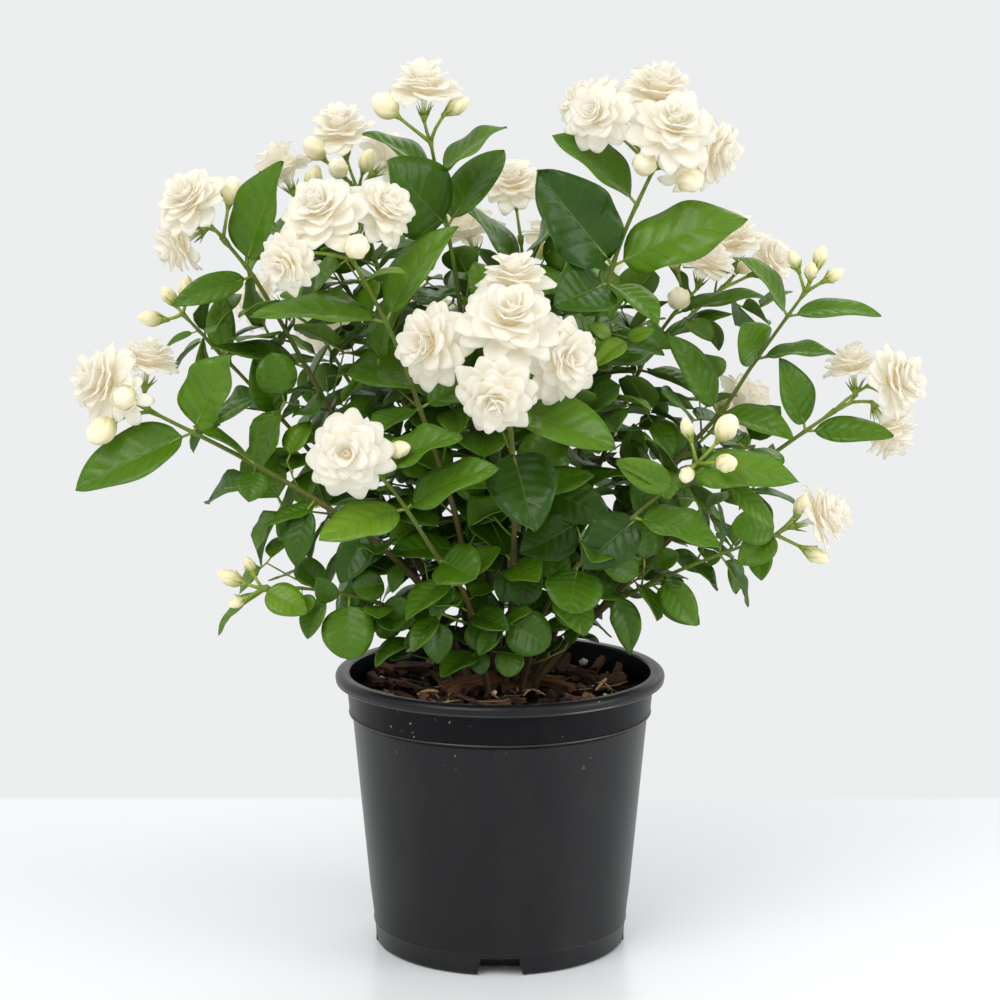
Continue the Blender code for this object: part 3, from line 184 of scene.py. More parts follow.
# Each shoot: the stem that it belongs to, its foot in the mix or the earlier shoot and the share of its
# length that it leaves, the points it passes, its radius at foot and tip, and its paired leaves as
# (from, to, spacing, size)
SHOOTS = {
    "top": Shoot(
        "stem_top", (-2, 9), [(-8, 14, 208), (-15, 16, 270), (-21, 18, 332), (-28, 12, 375), (-35, 5, 413)],
        (2.6, 1.0), (0.3, 0.72, 35, 42)),
    "crown": Shoot(
        "stem_crown", (5, 3), [(24, -2, 210), (35, -6, 268), (46, -9, 314), (60, -10, 362), (77, -6, 400)],
        (2.8, 1.1), (0.3, 0.72, 37, 44)),
    "upper_left": Shoot(
        "stem_upper_left", (-7, -4), [(-21, -18, 220), (-38, -28, 276), (-53, -38, 319), (-72, -46, 357)],
        (2.6, 1.1), (0.3, 0.9, 37, 42)),
    "back_left": Shoot(
        "stem_back_left", (-9, 15), [(-30, 34, 210), (-48, 50, 276), (-62, 60, 334), (-75, 64, 387)],
        (2.5, 1.0), (0.26, 0.92, 38, 42)),
    "back_left_twig": Shoot(
        "stem_back_left", ("back_left", 0.6), [(-83, 64, 338), (-104, 72, 378)],
        (1.7, 1.0), (0.3, 0.9, 35, 38)),
    "left_high": Shoot(
        "stem_left_high", (-13, 5),
        [(-42, 6, 197), (-70, 8, 245), (-95, 8, 291), (-122, 6, 340), (-140, 0, 365)],
        (2.6, 1.1), (0.24, 0.8, 37, 42)),
    "left_middle": Shoot(
        "stem_left_middle", (-14, -7),
        [(-38, -14, 186), (-76, -22, 223), (-121, -30, 253), (-174, -32, 281)],
        (2.7, 1.1), (0.2, 0.7, 38, 38)),
    "left_buds": Shoot(
        "stem_left_buds", (-19, 12), [(-50, 18, 200), (-81, 20, 233), (-118, 20, 276), (-163, 14, 326)],
        (2.2, 0.9), (0.24, 0.85, 38, 38)),
    "low_left": Shoot(
        "stem_low_left", (-21, -14), [(-43, -19, 170), (-68, -23, 184), (-101, -30, 191), (-120, -32, 191)],
        (2.0, 0.8), (0.3, 0.86, 24, 27)),
    "front": Shoot(
        "stem_front", (-5, -16), [(-16, -38, 185), (-30, -54, 210), (-50, -68, 244), (-67, -64, 262)],
        (2.3, 1.0), (0.2, 0.6, 27, 30)),
    "front_sprig": Shoot(
        "stem_front", ("front", 0.36), [(-24, -42, 178), (-37, -50, 186)],
        (1.1, 0.6), (0.35, 1.0, 17, 24)),
    "center": Shoot(
        "stem_center", (2, -9), [(6, -26, 186), (7, -38, 225), (6, -48, 264), (1, -46, 318)],
        (2.5, 1.2), (0.2, 0.86, 35, 40)),
    "center_sprig": Shoot(
        "stem_center", ("center", 0.28), [(3, -34, 172), (-2, -46, 178)],
        (1.1, 0.6), (0.35, 1.0, 17, 24)),
    "right_front": Shoot(
        "stem_right_front", (10, -12), [(22, -28, 178), (39, -46, 206), (64, -58, 231), (96, -66, 260)],
        (2.1, 0.9), (0.22, 0.7, 28, 32)),
    "right_low": Shoot(
        "stem_right_low", (16, -3),
        [(39, 0, 161), (54, 0, 176), (83, 8, 205), (130, 16, 244), (173, 18, 275)],
        (3.3, 1.0), (0.3, 0.7, 34, 34)),
    "right_low_twig": Shoot(
        "stem_right_low", ("right_low", 0.32), [(82, -10, 192), (112, -17, 206), (140, -22, 217)],
        (1.5, 0.9), (0.2, 0.85, 35, 28)),
    "right_high": Shoot(
        "stem_right_high", (15, 9),
        [(44, 16, 191), (72, 20, 228), (112, 21, 271), (131, 18, 300), (156, 12, 337)],
        (2.6, 0.9), (0.24, 0.62, 37, 42)),
    "right_back": Shoot(
        "stem_right_back", (8, 16), [(37, 34, 204), (58, 46, 256), (79, 52, 303), (97, 54, 329)],
        (2.4, 1.0), (0.24, 0.9, 37, 42)),
    "right_back_twig": Shoot(
        "stem_right_back", ("right_back", 0.84), [(102, 69, 320), (120, 80, 334)],
        (1.4, 0.9), (0.35, 0.9, 24, 34)),
    "right_back_buds": Shoot(
        "stem_right_back", ("right_back", 0.4), [(44, 56, 270), (43, 66, 320), (41, 68, 350)],
        (1.6, 0.9), (0.25, 0.9, 38, 38)),
    "back_center": Shoot(
        "stem_back_center", (-2, 20), [(3, 52, 201), (8, 76, 273), (13, 88, 330), (11, 91, 361)],
        (2.4, 1.0), (0.24, 0.9, 38, 42)),
    "back_center_twig": Shoot(
        "stem_back_center", ("back_center", 0.64), [(-5, 98, 314), (-13, 104, 338)],
        (1.4, 0.9), (0.3, 0.9, 28, 38)),
    "rear_left": Shoot(
        "stem_rear_left", (-10, 26), [(-27, 50, 190), (-60, 82, 245), (-88, 108, 288), (-101, 120, 307)],
        (2.5, 1.0), (0.22, 0.95, 37, 42)),
    "rear_left_twig": Shoot(
        "stem_rear_left", ("rear_left", 0.63), [(-50, 112, 276), (-43, 134, 293)],
        (1.5, 0.9), (0.25, 0.95, 26, 40)),
    "rear_middle": Shoot(
        "stem_rear_middle", (2, 30), [(11, 60, 190), (22, 98, 250), (29, 120, 300), (32, 129, 333)],
        (2.5, 1.0), (0.22, 0.95, 37, 42)),
    "rear_right": Shoot(
        "stem_rear_right", (15, 22), [(44, 50, 184), (84, 80, 226), (118, 104, 254)],
        (2.4, 0.9), (0.22, 0.95, 37, 38)),
}

# Leaves whose place the plant's front view fixes, by shoot: how far up it they grow, and where their tip is
FRONT_FACE = (0, -0.9, 0.4)
LEAF_ROWS = (
    ("top", (
        (0.94, (-68, -2, 417)),
        (0.94, (3, 2, 420)),
        (0.85, (-55, -20, 403), 0.75, FRONT_FACE),
        (0.85, (2, 36, 408), 0.5),
        (0.57, (-75, -26, 300), 0.6, (0, -0.6, 0.8)),
    )),
    ("crown", (
        (0.82, (18, -30, 399), 0.62, FRONT_FACE),
        (0.82, (121, -22, 377), 0.5, (0.1, -0.75, 0.65)),
        (0.79, (27, -42, 334), 0.8, FRONT_FACE),
        (0.79, (76, -30, 321), 0.5),
        (0.93, (29, -12, 416), 0.5, (0, -0.7, 0.7)),
    )),
    ("upper_left", (
        (0.86, (-121, -50, 331), 0.42),
        (0.86, (-22, -36, 373), 0.5),
        (0.95, (-46, -62, 352), 0.4),
    )),
    ("left_high", (
        (0.91, (-184, -8, 335), 0.36, (0, -0.6, 0.8)),
        (0.93, (-107, -16, 403), 0.55, (-0.5, -0.8, 0.3)),
        (0.72, (-146, 0, 310), 0.4),
    )),
    ("left_middle", (
        (0.90, (-210, -40, 242), 0.5, (0, -0.7, 0.7)),
        (0.90, (-131, -48, 310), 0.7, (-0.5, -0.85, 0.2)),
        (0.76, (-142, -52, 276), 0.5),
        (0.76, (-124, -44, 237), 0.8, FRONT_FACE),
        (0.60, (-118, -36, 224), 0.4),
    )),
    ("left_buds", (
        (0.88, (-141, 8, 336), 0.45, FRONT_FACE),
        (0.95, (-171, 10, 308), 0.35),
        (0.72, (-121, 0, 310), 0.5, FRONT_FACE),
    )),
    ("low_left", (
        (0.98, (-137, -36, 167), 0.35, (-0.3, -0.6, 0.7)),
        (0.86, (-96, -36, 180), 0.85, (-0.3, -0.6, 0.7)),
        (0.69, (-75, -38, 156), 0.85, FRONT_FACE),
        (0.50, (-58, -40, 174), 0.85, (-0.3, -0.6, 0.7)),
    )),
    ("front", (
        (0.81, (-2, -84, 261), 0.5, (0, -0.6, 0.8)),
        (0.81, (-86, -90, 226), 0.6, (-0.2, -0.6, 0.8)),
        (0.62, (-12, -80, 206), 0.85, FRONT_FACE),
        (0.94, (-15, -86, 275), 0.5, (0, -0.6, 0.8)),
    )),
    ("center", (
        (0.74, (16, -84, 231), 0.72, FRONT_FACE),
        (0.84, (-29, -60, 289), 0.4),
        (0.84, (55, -84, 269), 0.5, (0.1, -0.7, 0.7)),
    )),
    ("right_front", (
        (0.56, (34, -72, 187), 0.9, FRONT_FACE),
        (0.77, (107, -70, 220), 0.5, (0.1, -0.6, 0.8)),
        (0.87, (58, -76, 260), 0.4, (0, -0.6, 0.8)),
        (0.95, (143, -78, 253), 0.45, (0, -0.7, 0.7)),
    )),
    ("right_low", (
        (0.34, (67, -10, 152), 0.4, (0.4, -0.8, 0.3)),
    )),
    ("right_low_twig", (
        (0.30, (102, -14, 169), 0.5, FRONT_FACE),
        (0.90, (122, -30, 238), 0.5, (0.3, -0.7, 0.5)),
        (0.90, (131, -34, 196), 0.6),
    )),
    ("right_low", (
        (0.92, (143, 8, 303), 0.55, (0.3, -0.8, 0.5)),
        (0.92, (198, 4, 266), 0.4, (0, -0.6, 0.8)),
    )),
    ("right_high", (
        (0.71, (87, 8, 315), 0.4, (0.3, -0.8, 0.5)),
        (0.71, (156, -2, 267), 0.5, (0, -0.6, 0.8)),
        (0.84, (122, -8, 322), 0.7, FRONT_FACE),
        (0.84, (170, 0, 306), 0.4),
        (0.94, (194, 8, 325), 0.36, (0, -0.5, 0.85)),
        (0.94, (122, 2, 355), 0.6, (0.3, -0.5, 0.8)),
    )),
    ("right_back", (
        (0.88, (121, 36, 323), 0.4),
        (0.96, (140, 40, 332), 0.35),
    )),
    ("back_center", (
        (0.90, (-20, 72, 378), 0.6),
        (0.90, (36, 80, 376), 0.6),
    )),
)
LEAVES = [Leaf(shoot, *row) for shoot, rows in LEAF_ROWS for row in rows]

# Leaves that the front view shows and the CAD has no room for: the share of their shoot where their stalk
# starts, the foot and the tip of the blade, its width and how young it looks
LowLeaf = namedtuple("LowLeaf", "shoot along base tip width tint")
LOW_LEAVES = [
    LowLeaf("left_middle", 0.62, (-96, -30, 232), (-102, -37, 203), 0.55, 0.15),
    LowLeaf("left_middle", 0.50, (-68, -26, 219), (-80, -33, 194), 0.65, 0.1),
    LowLeaf("low_left", 0.58, (-58, -27, 193), (-73, -34, 191), 1.0, 0.3),
    LowLeaf("low_left", 0.58, (-60, -27, 180), (-43, -34, 175), 1.0, 0.25),
    LowLeaf("low_left", 0.92, (-117, -36, 191), (-96, -43, 181), 0.75, 0.8),
    LowLeaf("low_left", 0.74, (-84, -31, 184), (-91, -38, 198), 0.7, 0.3),
    LowLeaf("front", 0.52, (-24, -50, 196), (-34, -57, 182), 0.66, 0.2),
    LowLeaf("front_sprig", 0.68, (-31, -50, 178), (-31, -57, 158), 0.78, 0.25),
    LowLeaf("front", 0.38, (-11, -39, 177), (-7, -46, 162), 1.05, 0.3),
    LowLeaf("left_middle", 0.40, (-52, -25, 202), (-54, -32, 189), 0.6, 0.2),
    LowLeaf("low_left", 0.40, (-39, -25, 170), (-48, -32, 160), 0.55, 0.1),
    LowLeaf("front", 0.28, (-11, -33, 160), (-9, -40, 149), 0.85, 0.1),
    LowLeaf("center", 0.44, (5, -36, 202), (2, -43, 186), 0.85, 0.15),
    LowLeaf("right_front", 0.60, (39, -35, 225), (10, -42, 211), 0.78, 0.05),
    LowLeaf("right_front", 0.42, (28, -37, 185), (46, -44, 174), 0.8, 0.2),
    LowLeaf("center", 0.44, (14, -36, 204), (11, -43, 184), 0.98, 0.15),
    LowLeaf("center_sprig", 0.60, (4, -46, 177), (24, -54, 166), 1.0, 0.3),
    LowLeaf("center", 0.22, (6, -35, 161), (4, -42, 148), 1.0, 0.4),
    LowLeaf("right_low_twig", 0.38, (83, -25, 194), (99, -32, 172), 0.64, 0.55),
    LowLeaf("right_low", 0.36, (59, -25, 186), (66, -32, 159), 0.55, 0.3),
    LowLeaf("right_low", 0.48, (80, -25, 203), (89, -32, 208), 0.95, 0.35),
    LowLeaf("right_low", 0.44, (70, -25, 197), (49, -32, 209), 0.65, 0.3),
    LowLeaf("right_front", 0.78, (67, -58, 231), (40, -65, 208), 0.78, 0.1),
    LowLeaf("crown", 0.42, (22, -25, 240), (55, -32, 225), 0.66, 0.1),
    LowLeaf("right_front", 0.90, (83, -68, 248), (56, -75, 262), 0.52, 0.75),
    LowLeaf("right_low_twig", 0.86, (137, -36, 223), (115, -42, 223), 0.85, 0.6),
    LowLeaf("right_low_twig", 0.86, (137, -38, 219), (118, -44, 206), 0.75, 0.65),
    LowLeaf("right_front", 0.97, (111, -62, 249), (133, -68, 228), 0.36, 0.8),
    LowLeaf("crown", 0.71, (64, -14, 315), (77, -20, 320), 0.5, 0.95),
    LowLeaf("crown", 0.70, (63, -16, 314), (47, -24, 302), 0.6, 0.9),
    LowLeaf("crown", 0.68, (56, -12, 315), (44, -18, 322), 0.62, 0.95),
]

# Blooms, half-open flowers and buds, by shoot: their kind, their middle, the way they face and their width
FLOWER_ROWS = (
    ("top", (
        ("bloom", (-38, 0, 442), (0, -0.25, 0.97), 40),
        ("bud", (-57, -6, 430), (-0.7, -0.3, 0.6), 13),
        ("bud", (-21, -4, 430), (0.8, -0.2, 0.5), 9),
    )),
    ("crown", (
        ("bloom", (80, 8, 440), (0.1, -0.3, 0.95), 42),
        ("bloom", (87, -22, 419), (0.2, -0.72, 0.66), 46),
        ("bloom", (57, -18, 422), (-0.4, -0.85, 0.3), 42),
        ("bloom", (42, 8, 431), (-0.8, -0.35, 0.5), 38),
        ("bloom", (109, 2, 407), (0.9, -0.42, -0.1), 40),
        ("half", (95, -26, 392), (0.35, -0.75, -0.55), 19),
        ("bud", (71, -24, 402), (-0.3, -0.9, 0.15), 13),
    )),
    ("upper_left", (
        ("bloom", (-86, -56, 381), (-0.25, -0.68, 0.69), 46),
        ("bloom", (-60, -44, 378), (0.6, -0.6, 0.53), 38),
        ("bloom", (-98, -62, 357), (-0.5, -0.82, -0.28), 32),
        ("bud", (-68, -70, 364), (0.2, -0.95, 0.2), 13),
    )),
    ("back_left", (
        ("bloom", (-84, 62, 420), (-0.15, -0.4, 0.9), 38),
        ("bloom", (-56, 80, 404), (0.65, 0.5, 0.55), 38),
        ("bud", (-97, 56, 408), (-0.6, -0.3, 0.7), 12),
        ("bud", (-84, 46, 398), (-0.3, -0.8, 0.5), 11),
        ("bud", (-69, 50, 402), (0.3, -0.6, 0.7), 10),
    )),
    ("back_left_twig", (
        ("bloom", (-118, 78, 400), (-0.45, 0.2, 0.87), 38),
        ("bud", (-98, 62, 393), (0.3, -0.5, 0.8), 10),
    )),
    ("left_high", (
        ("bloom", (-156, -6, 385), (-0.45, -0.6, 0.66), 40),
        ("bloom", (-163, 4, 362), (-0.85, -0.25, -0.45), 36),
        ("bud", (-135, 2, 388), (0.2, -0.1, 0.97), 12),
    )),
    ("left_middle", (
        ("bloom", (-199, -32, 295), (-0.75, -0.55, 0.36), 42),
        ("bloom", (-175, -22, 307), (0.15, -0.1, 0.98), 32),
        ("half", (-184, -52, 290), (-0.15, -0.95, 0.25), 16),
        ("bud", (-196, -42, 272), (-0.7, -0.5, -0.5), 14),
    )),
    ("left_buds", (
        ("bud", (-159, 6, 339), (0.1, -0.4, 0.9), 9),
        ("bud", (-178, 10, 323), (-0.95, -0.2, 0.1), 9),
        ("bud", (-170, 20, 334), (-0.6, 0.4, 0.7), 8),
    )),
    ("low_left", (
        ("bud", (-135, -34, 197), (-0.9, -0.1, 0.4), 9),
        ("bud", (-126, -26, 202), (-0.4, 0.3, 0.85), 6),
        ("bud", (-131, -42, 186), (-0.75, -0.5, -0.3), 6),
    )),
    ("front", (
        ("bloom", (-72, -90, 267), (-0.12, -0.97, 0.15), 47),
        ("bud", (-48, -79, 268), (0.75, -0.6, 0.25), 9),
    )),
    ("center", (
        ("bloom", (5, -76, 330), (0.05, -0.72, 0.69), 52),
        ("bloom", (-33, -64, 319), (-0.68, -0.72, 0.12), 44),
        ("bloom", (31, -66, 313), (0.6, -0.79, 0.05), 44),
        ("bloom", (-4, -80, 297), (-0.05, -0.9, -0.42), 45),
        ("bloom", (6, -46, 347), (0, -0.3, 0.95), 42),
    )),
    ("right_front", (
        ("bud", (90, -68, 277), (-0.3, -0.2, 0.9), 7),
        ("bud", (109, -68, 277), (0.5, -0.2, 0.85), 12),
        ("bud", (108, -84, 262), (0.4, -0.85, 0.1), 10),
        ("bud", (89, -82, 256), (-0.3, -0.9, -0.2), 8),
    )),
    ("right_low_twig", (
        ("bloom", (164, -24, 227), (0.9, -0.2, 0.35), 40),
        ("bud", (150, -34, 234), (0.3, -0.5, 0.8), 8),
        ("bud", (158, -32, 208), (0.8, -0.4, -0.4), 9),
    )),
    ("right_low", (
        ("bloom", (181, 20, 302), (-0.15, -0.1, 0.98), 32),
        ("bloom", (205, 10, 292), (0.8, -0.55, 0.25), 40),
        ("bloom", (200, 20, 265), (0.45, -0.3, -0.84), 38),
    )),
    ("right_high", (
        ("bud", (149, 8, 353), (-0.4, -0.2, 0.9), 7),
        ("bud", (163, 14, 354), (0.3, 0.1, 0.95), 8),
        ("bud", (157, 2, 348), (0, -0.6, 0.75), 7),
        ("bud", (170, 10, 345), (0.85, -0.1, 0.5), 7),
    )),
    ("right_back", (
        ("bloom", (110, 50, 353), (0.3, -0.3, 0.9), 32),
        ("bud", (90, 48, 352), (-0.4, -0.2, 0.9), 9),
        ("bud", (93, 38, 331), (-0.3, -0.9, 0), 13),
    )),
    ("right_back_twig", (
        ("bloom", (124, 86, 362), (-0.2, -0.3, 0.93), 40),
        ("bloom", (143, 84, 352), (0.75, -0.4, 0.52), 34),
        ("bud", (131, 70, 346), (0.4, -0.8, 0.4), 9),
    )),
    ("right_back_buds", (
        ("bud", (36, 62, 364), (-0.4, -0.4, 0.85), 9),
        ("bud", (47, 70, 365), (0.4, 0, 0.9), 8),
    )),
    ("back_center", (
        ("bloom", (7, 90, 391), (-0.1, -0.55, 0.83), 38),
    )),
    ("back_center_twig", (
        ("bloom", (-19, 112, 366), (-0.3, 0.3, 0.9), 40),
    )),
    ("rear_left", (
        ("bloom", (-106, 126, 338), (-0.05, 0.1, 0.99), 44),
        ("bloom", (-128, 126, 318), (-0.9, 0.2, 0.3), 42),
        ("bloom", (-98, 148, 312), (0.2, 0.96, 0.1), 42),
    )),
    ("rear_left_twig", (
        ("bloom", (-40, 160, 310), (0, 0.88, 0.47), 44),
        ("bud", (-53, 148, 310), (-0.5, 0.4, 0.75), 10),
    )),
    ("rear_middle", (
        ("bloom", (34, 134, 364), (0.05, 0.2, 0.98), 46),
        ("bloom", (52, 148, 340), (0.7, 0.7, 0.1), 42),
        ("bud", (22, 144, 350), (-0.5, 0.75, 0.4), 11),
    )),
    ("rear_right", (
        ("bloom", (138, 112, 268), (0.85, 0.35, 0.4), 42),
        ("bud", (124, 118, 268), (0.2, 0.75, 0.6), 10),
    )),
)
FLOWERS = [Flower(kind, shoot, *rest) for shoot, rows in FLOWER_ROWS for kind, *rest in rows]

# Fine canes: rings along a cane, swollen where its leaves grow
CANE_STEP = 6
CANE_SIDES = 8
CANE_SLIMMER = 0.86
NODE_SWELL = 0.28
NODE_REACH = 2.2
TWIG_TINT = 0.55
FOOT_TINT = 0.02
TIP_TINT = 0.72
PETIOLE_TINT = 0.8

# Fine leaves: a grid of faces across and along, bent by these amounts
LEAF_GRID = (8, 24)
SMALL_LEAF_GRID = (4, 8)
COLUMN_SPREAD = 1.35
OUTLINE = (0.56, 0.8)
ROUND_OUTLINE = (0.5, 0.54)
ROUND_WIDTH = 0.8
EDGE_LEFT = 0.14
PETIOLE = (2.2, 0.035)
PETIOLE_RADIUS = 0.85
RIB_TIP_RADIUS = 0.22
RIB_SINK = 0.04
RIB_AT_FOOT = 0.6
LEAF_WAVES = (1.2, 2.2)
LEAF_SWAY = 0.03
QUILT_RISE = 0.42
VEINS = 6.5
VEIN_SLANT = 0.2
VEIN_CURVE = 1.15
VEIN_START = 0.03
GROOVE = 0.35
GROOVE_WIDTH = 0.1
LARGE_LEAF = 42
STALK_SHARES = (1, 0.9, 0.85, 0.7, 0.52, 0.38)
RIB_PLACES = (0.2, 0.42, 0.64, 0.84)
FULL_STALK = 38

# How young a leaf looks, from 0 to 1, by how far up its shoot it grows, and the tips of those that stand out
# Leaves low on their shoot come out darker, partly from their age and partly as painted shade of the plant's
# lower inside.
FRONT_TINT = (0.18, 0.38)
PAIR_TINT = (0.08, 0.46)
SPRIG_TINT = (0.1, 0.35, 0.2)
YOUNG_TINT = 0.7
OLD_TINT = 0.12
YOUNG_LEAVES = {
    (-86, -90, 226), (143, -78, 253), (-46, -62, 352), (-96, -36, 180), (-137, -36, 167),
    (122, 2, 355), (122, -8, 322)}
OLD_LEAVES = {(27, -42, 334), (18, -30, 399), (-55, -20, 403), (16, -84, 231)}

# Side sprigs that fill the plant: how they leave their cane and how big their leaves are
SPRIG_LENGTH = (14, 34)
SPRIG_SPREAD = (30, 58)
SPRIG_RADIUS = (0.75, 0.5)
SPRIG_PAIRS = (0.55, 1.0)
SPRIG_LEAF = (0.62, 0.98)
SPRIG_SPACING = 27
SPRIG_TRIES = 7
SPRIG_ABOVE_MIX = 20
SPRIG_FRONT = -25
SPRIG_CLEAR = 1.0
SPRIG_NEAR = 0.6
SPRIG_WIDTH = (0.6, 0.9)
SPRIG_STRAY = 0.12
SPRIG_TRY_SHORTER = 0.05

# Fine blooms: petals of each whorl, their length and half width in bloom radii, the angle that they rise
# at near the heart and at their tip, how far their edges curl in, and how far they wrap round the heart
Whorl = namedtuple("Whorl", "petals length half_width low_rise tip_rise cup wrap")
WHORLS = (
    Whorl(11, 1.0, 0.29, 28, -20, 0.08, 0.15),
    Whorl(8, 0.92, 0.32, 60, -2, 0.10, 0.4),
    Whorl(7, 0.95, 0.33, 78, 14, 0.12, 0.7),
    Whorl(6, 1.0, 0.33, 89, 34, 0.12, 1.0),
    Whorl(5, 1.0, 0.30, 96, 58, 0.10, 1.3),
)
HALF_WHORLS = (
    Whorl(5, 1.35, 0.40, 20, -62, 0.12, 0.5),
    Whorl(4, 1.05, 0.55, 4, 98, 0.10, 1.0),
)
HALF_SIZE = 0.6
HALF_BALL = 0.76
BLOOM_FULLER = (1.0, 1.12)
SMALLER_BLOOMS = {(-72, -90, 267): 0.9}
PETAL_GRID = (5, 6)
PETAL_WIDEST = 0.66
PETAL_CLAW = 0.34
PETAL_END = 0.6
PETAL_ROUND = 0.12
PETAL_WRAP = 1.5
PETAL_RIPPLE = 0.05
THROAT_RADIUS = 1.7
TUBE_SIDES = 10
TUBE_LEVELS = (
    (-TUBE_LENGTH, 1.0, 0.0), (-6, 1.15, 0.25), (-3, 1.35, 0.6), (-0.8, 1.8, 0.9), (0.6, 2.6, 1.0))
WHORL_TURN = 0.618
HEART_GRID = (18, 4)
HEART_HEIGHT_SHARE = (0.80, 0.86)
HEART_TURNS = 1.9
BUD_SIDES = (30, 14)
BUD_LAPS = 5


class Finish:
    """A material under construction: its node tree, and the one method that adds nodes to it."""

    def __init__(self, name):
        self.material = bpy.data.materials.new(name)
        self.material.use_nodes = True
        self.tree = self.material.node_tree
        self.shader = self.tree.nodes["Principled BSDF"]
        self.output = self.tree.nodes["Material Output"]

    def node(self, kind, settings=None, sockets=None, output=0):
        """Adds a node, sets it up, then feeds its sockets; gives the output that is asked for."""
        made = self.tree.nodes.new("ShaderNode" + kind)
        for name, value in (settings or {}).items():
            setattr(made, name, value)
        for name, value in (sockets or {}).items():
            self.feed(made.inputs[name], value)
        return Socket(self, made.outputs[output])

    def feed(self, socket, value):
        """Links a socket or sets its value; a colour of three numbers gets its fourth."""
        if isinstance(value, Socket):
            self.tree.links.new(value.socket, socket)
        elif socket.type == "RGBA":
            socket.default_value = (*value, 1)
        else:
            socket.default_value = value

    def mix(self, factor, first, second):
        """A blend of two colours."""
        return self.node("Mix", {"data_type": "RGBA"}, {0: factor, 6: first, 7: second}, output=2)

    def object_place(self, scale=1.0, stretch=(1, 1, 1)):
        """Object coordinates in millimetres, times a scale and a stretch of each axis."""
        place = self.node("TexCoord", output=3)
        size = [scale / MM * share for share in stretch]
        return self.node("Mapping", {}, {"Vector": place, "Scale": size})

    def noise(self, vector, detail=2.0, roughness=0.5):
        """A noise from 0 to 1 with blobs about one unit of the vector wide."""
        sockets = {"Vector": vector, "Scale": 1.0, "Detail": detail, "Roughness": roughness}
        return self.node("TexNoise", {}, sockets)

    def attribute(self, name):
        """A value that the corners of the piece carry."""
        return self.node("Attribute", {"attribute_name": name}, output=2)

    def uv(self):
        """The two coordinates of the piece's own UV map."""
        split = self.node("UVMap", {"uv_map": "UVMap"})
        first = self.node("SeparateXYZ", {}, {0: split})
        return first, Socket(self, first.socket.node.outputs[1])

    def finish(self, **inputs):
        """Feeds the main shader, whose sockets are named with _ for a space."""
        for name, value in inputs.items():
            self.feed(self.shader.inputs[name.replace("_", " ")], value)
        return self.material

    def bump(self, height, distance):
        """A normal from a height in millimetres."""
        return self.node("Bump", {}, {"Height": height, "Distance": distance * MM, "Strength": 1.0})

    def mix_in(self, share, other):
        """Puts a share of another shader over the main one."""
        main = Socket(self, self.shader.outputs[0])
        both = self.node("MixShader", {}, {0: share, 1: main, 2: other})
        self.tree.links.new(both.socket, self.output.inputs["Surface"])

    def let_light_through(self, colour, share):
        """Mixes in light that comes through from behind."""
        self.mix_in(share, self.node("BsdfTranslucent", {}, {"Color": colour}))


class Socket:
    """A shader socket in a Python expression; each operation adds its Math node."""

    def __init__(self, finish, socket):
        self.finish = finish
        self.socket = socket

    def maths(self, operation, *values):
        return self.finish.node("Math", {"operation": operation}, dict(enumerate(values)))

    def __add__(self, other):
        return self.maths("ADD", self, other)

    def __sub__(self, other):
        return self.maths("SUBTRACT", self, other)

    def __rsub__(self, other):
        return self.maths("SUBTRACT", other, self)

    def __mul__(self, other):
        return self.maths("MULTIPLY", self, other)

    def __truediv__(self, other):
        return self.maths("DIVIDE", self, other)

    def __pow__(self, other):
        return self.maths("POWER", self, other)

    def __abs__(self):
        return self.maths("ABSOLUTE", self)

    def sine(self):
        return self.maths("SINE", self)

    def fraction(self):
        return self.maths("FRACT", self)

    def between(self, low, high):
        """0 below low, 1 above high, and a smooth step from one to the other; low may be the larger."""
        ends = {"Value": self, "From Min": low, "From Max": high}
        return self.finish.node("MapRange", {"interpolation_type": "SMOOTHSTEP"}, ends)


def colour_setting(name, description, default):
    return FloatVectorProperty(
        name=name, description=description, default=default, size=3, min=0, max=1, subtype="COLOR")


def length_setting(name, description, default):
    """A length whose default is given in millimetres."""
    return FloatProperty(name=name, description=description, default=default * MM, min=0, unit="LENGTH")


def share_setting(name, description, default):
    return FloatProperty(
        name=name, description=description, default=default, min=0, max=1, subtype="FACTOR")


def count_setting(name, description, default):
    return IntProperty(name=name, description=description, default=default, min=0)


def power_setting(name, description, default):
    return FloatProperty(name=name, description=description, default=default, min=0, unit="POWER")


class PotSettings(bpy.types.PropertyGroup):
    """The nursery pot."""

    sides: IntProperty(name="Sides", description="Faces round the pot", default=144, min=24, max=360)
    plastic: colour_setting("Plastic", "Colour of the moulded plastic", (0.0055, 0.0055, 0.0068))
    dust: colour_setting("Dust", "Colour of the specks of dust on it", (0.32, 0.30, 0.27))
    roughness: share_setting("Roughness", "How matt the plastic is", 0.33)


class MixSettings(bpy.types.PropertyGroup):
    """The potting mix with its bark, perlite and fibres."""

    chips: count_setting("Small chips", "Number of small bark chips", 210)
    grains: count_setting("Perlite", "Number of perlite grains", 34)
    fibres: count_setting("Fibres", "Number of loose fibres", 44)
    # The earth colour is kept near black: partly the mix's own tone, partly painted shade in the gaps
    # between the chips.
    earth: colour_setting("Earth", "Colour of the fine mix", (0.0065, 0.0042, 0.0032))
    bark: colour_setting("Bark", "Colour of the darker bark", (0.030, 0.015, 0.009))
    red_bark: colour_setting("Red bark", "Colour of the freshly broken bark", (0.255, 0.112, 0.050))
    perlite: colour_setting("Perlite", "Colour of the perlite", (0.72, 0.68, 0.50))
    fibre: colour_setting("Fibre", "Colour of the fibres", (0.46, 0.30, 0.13))


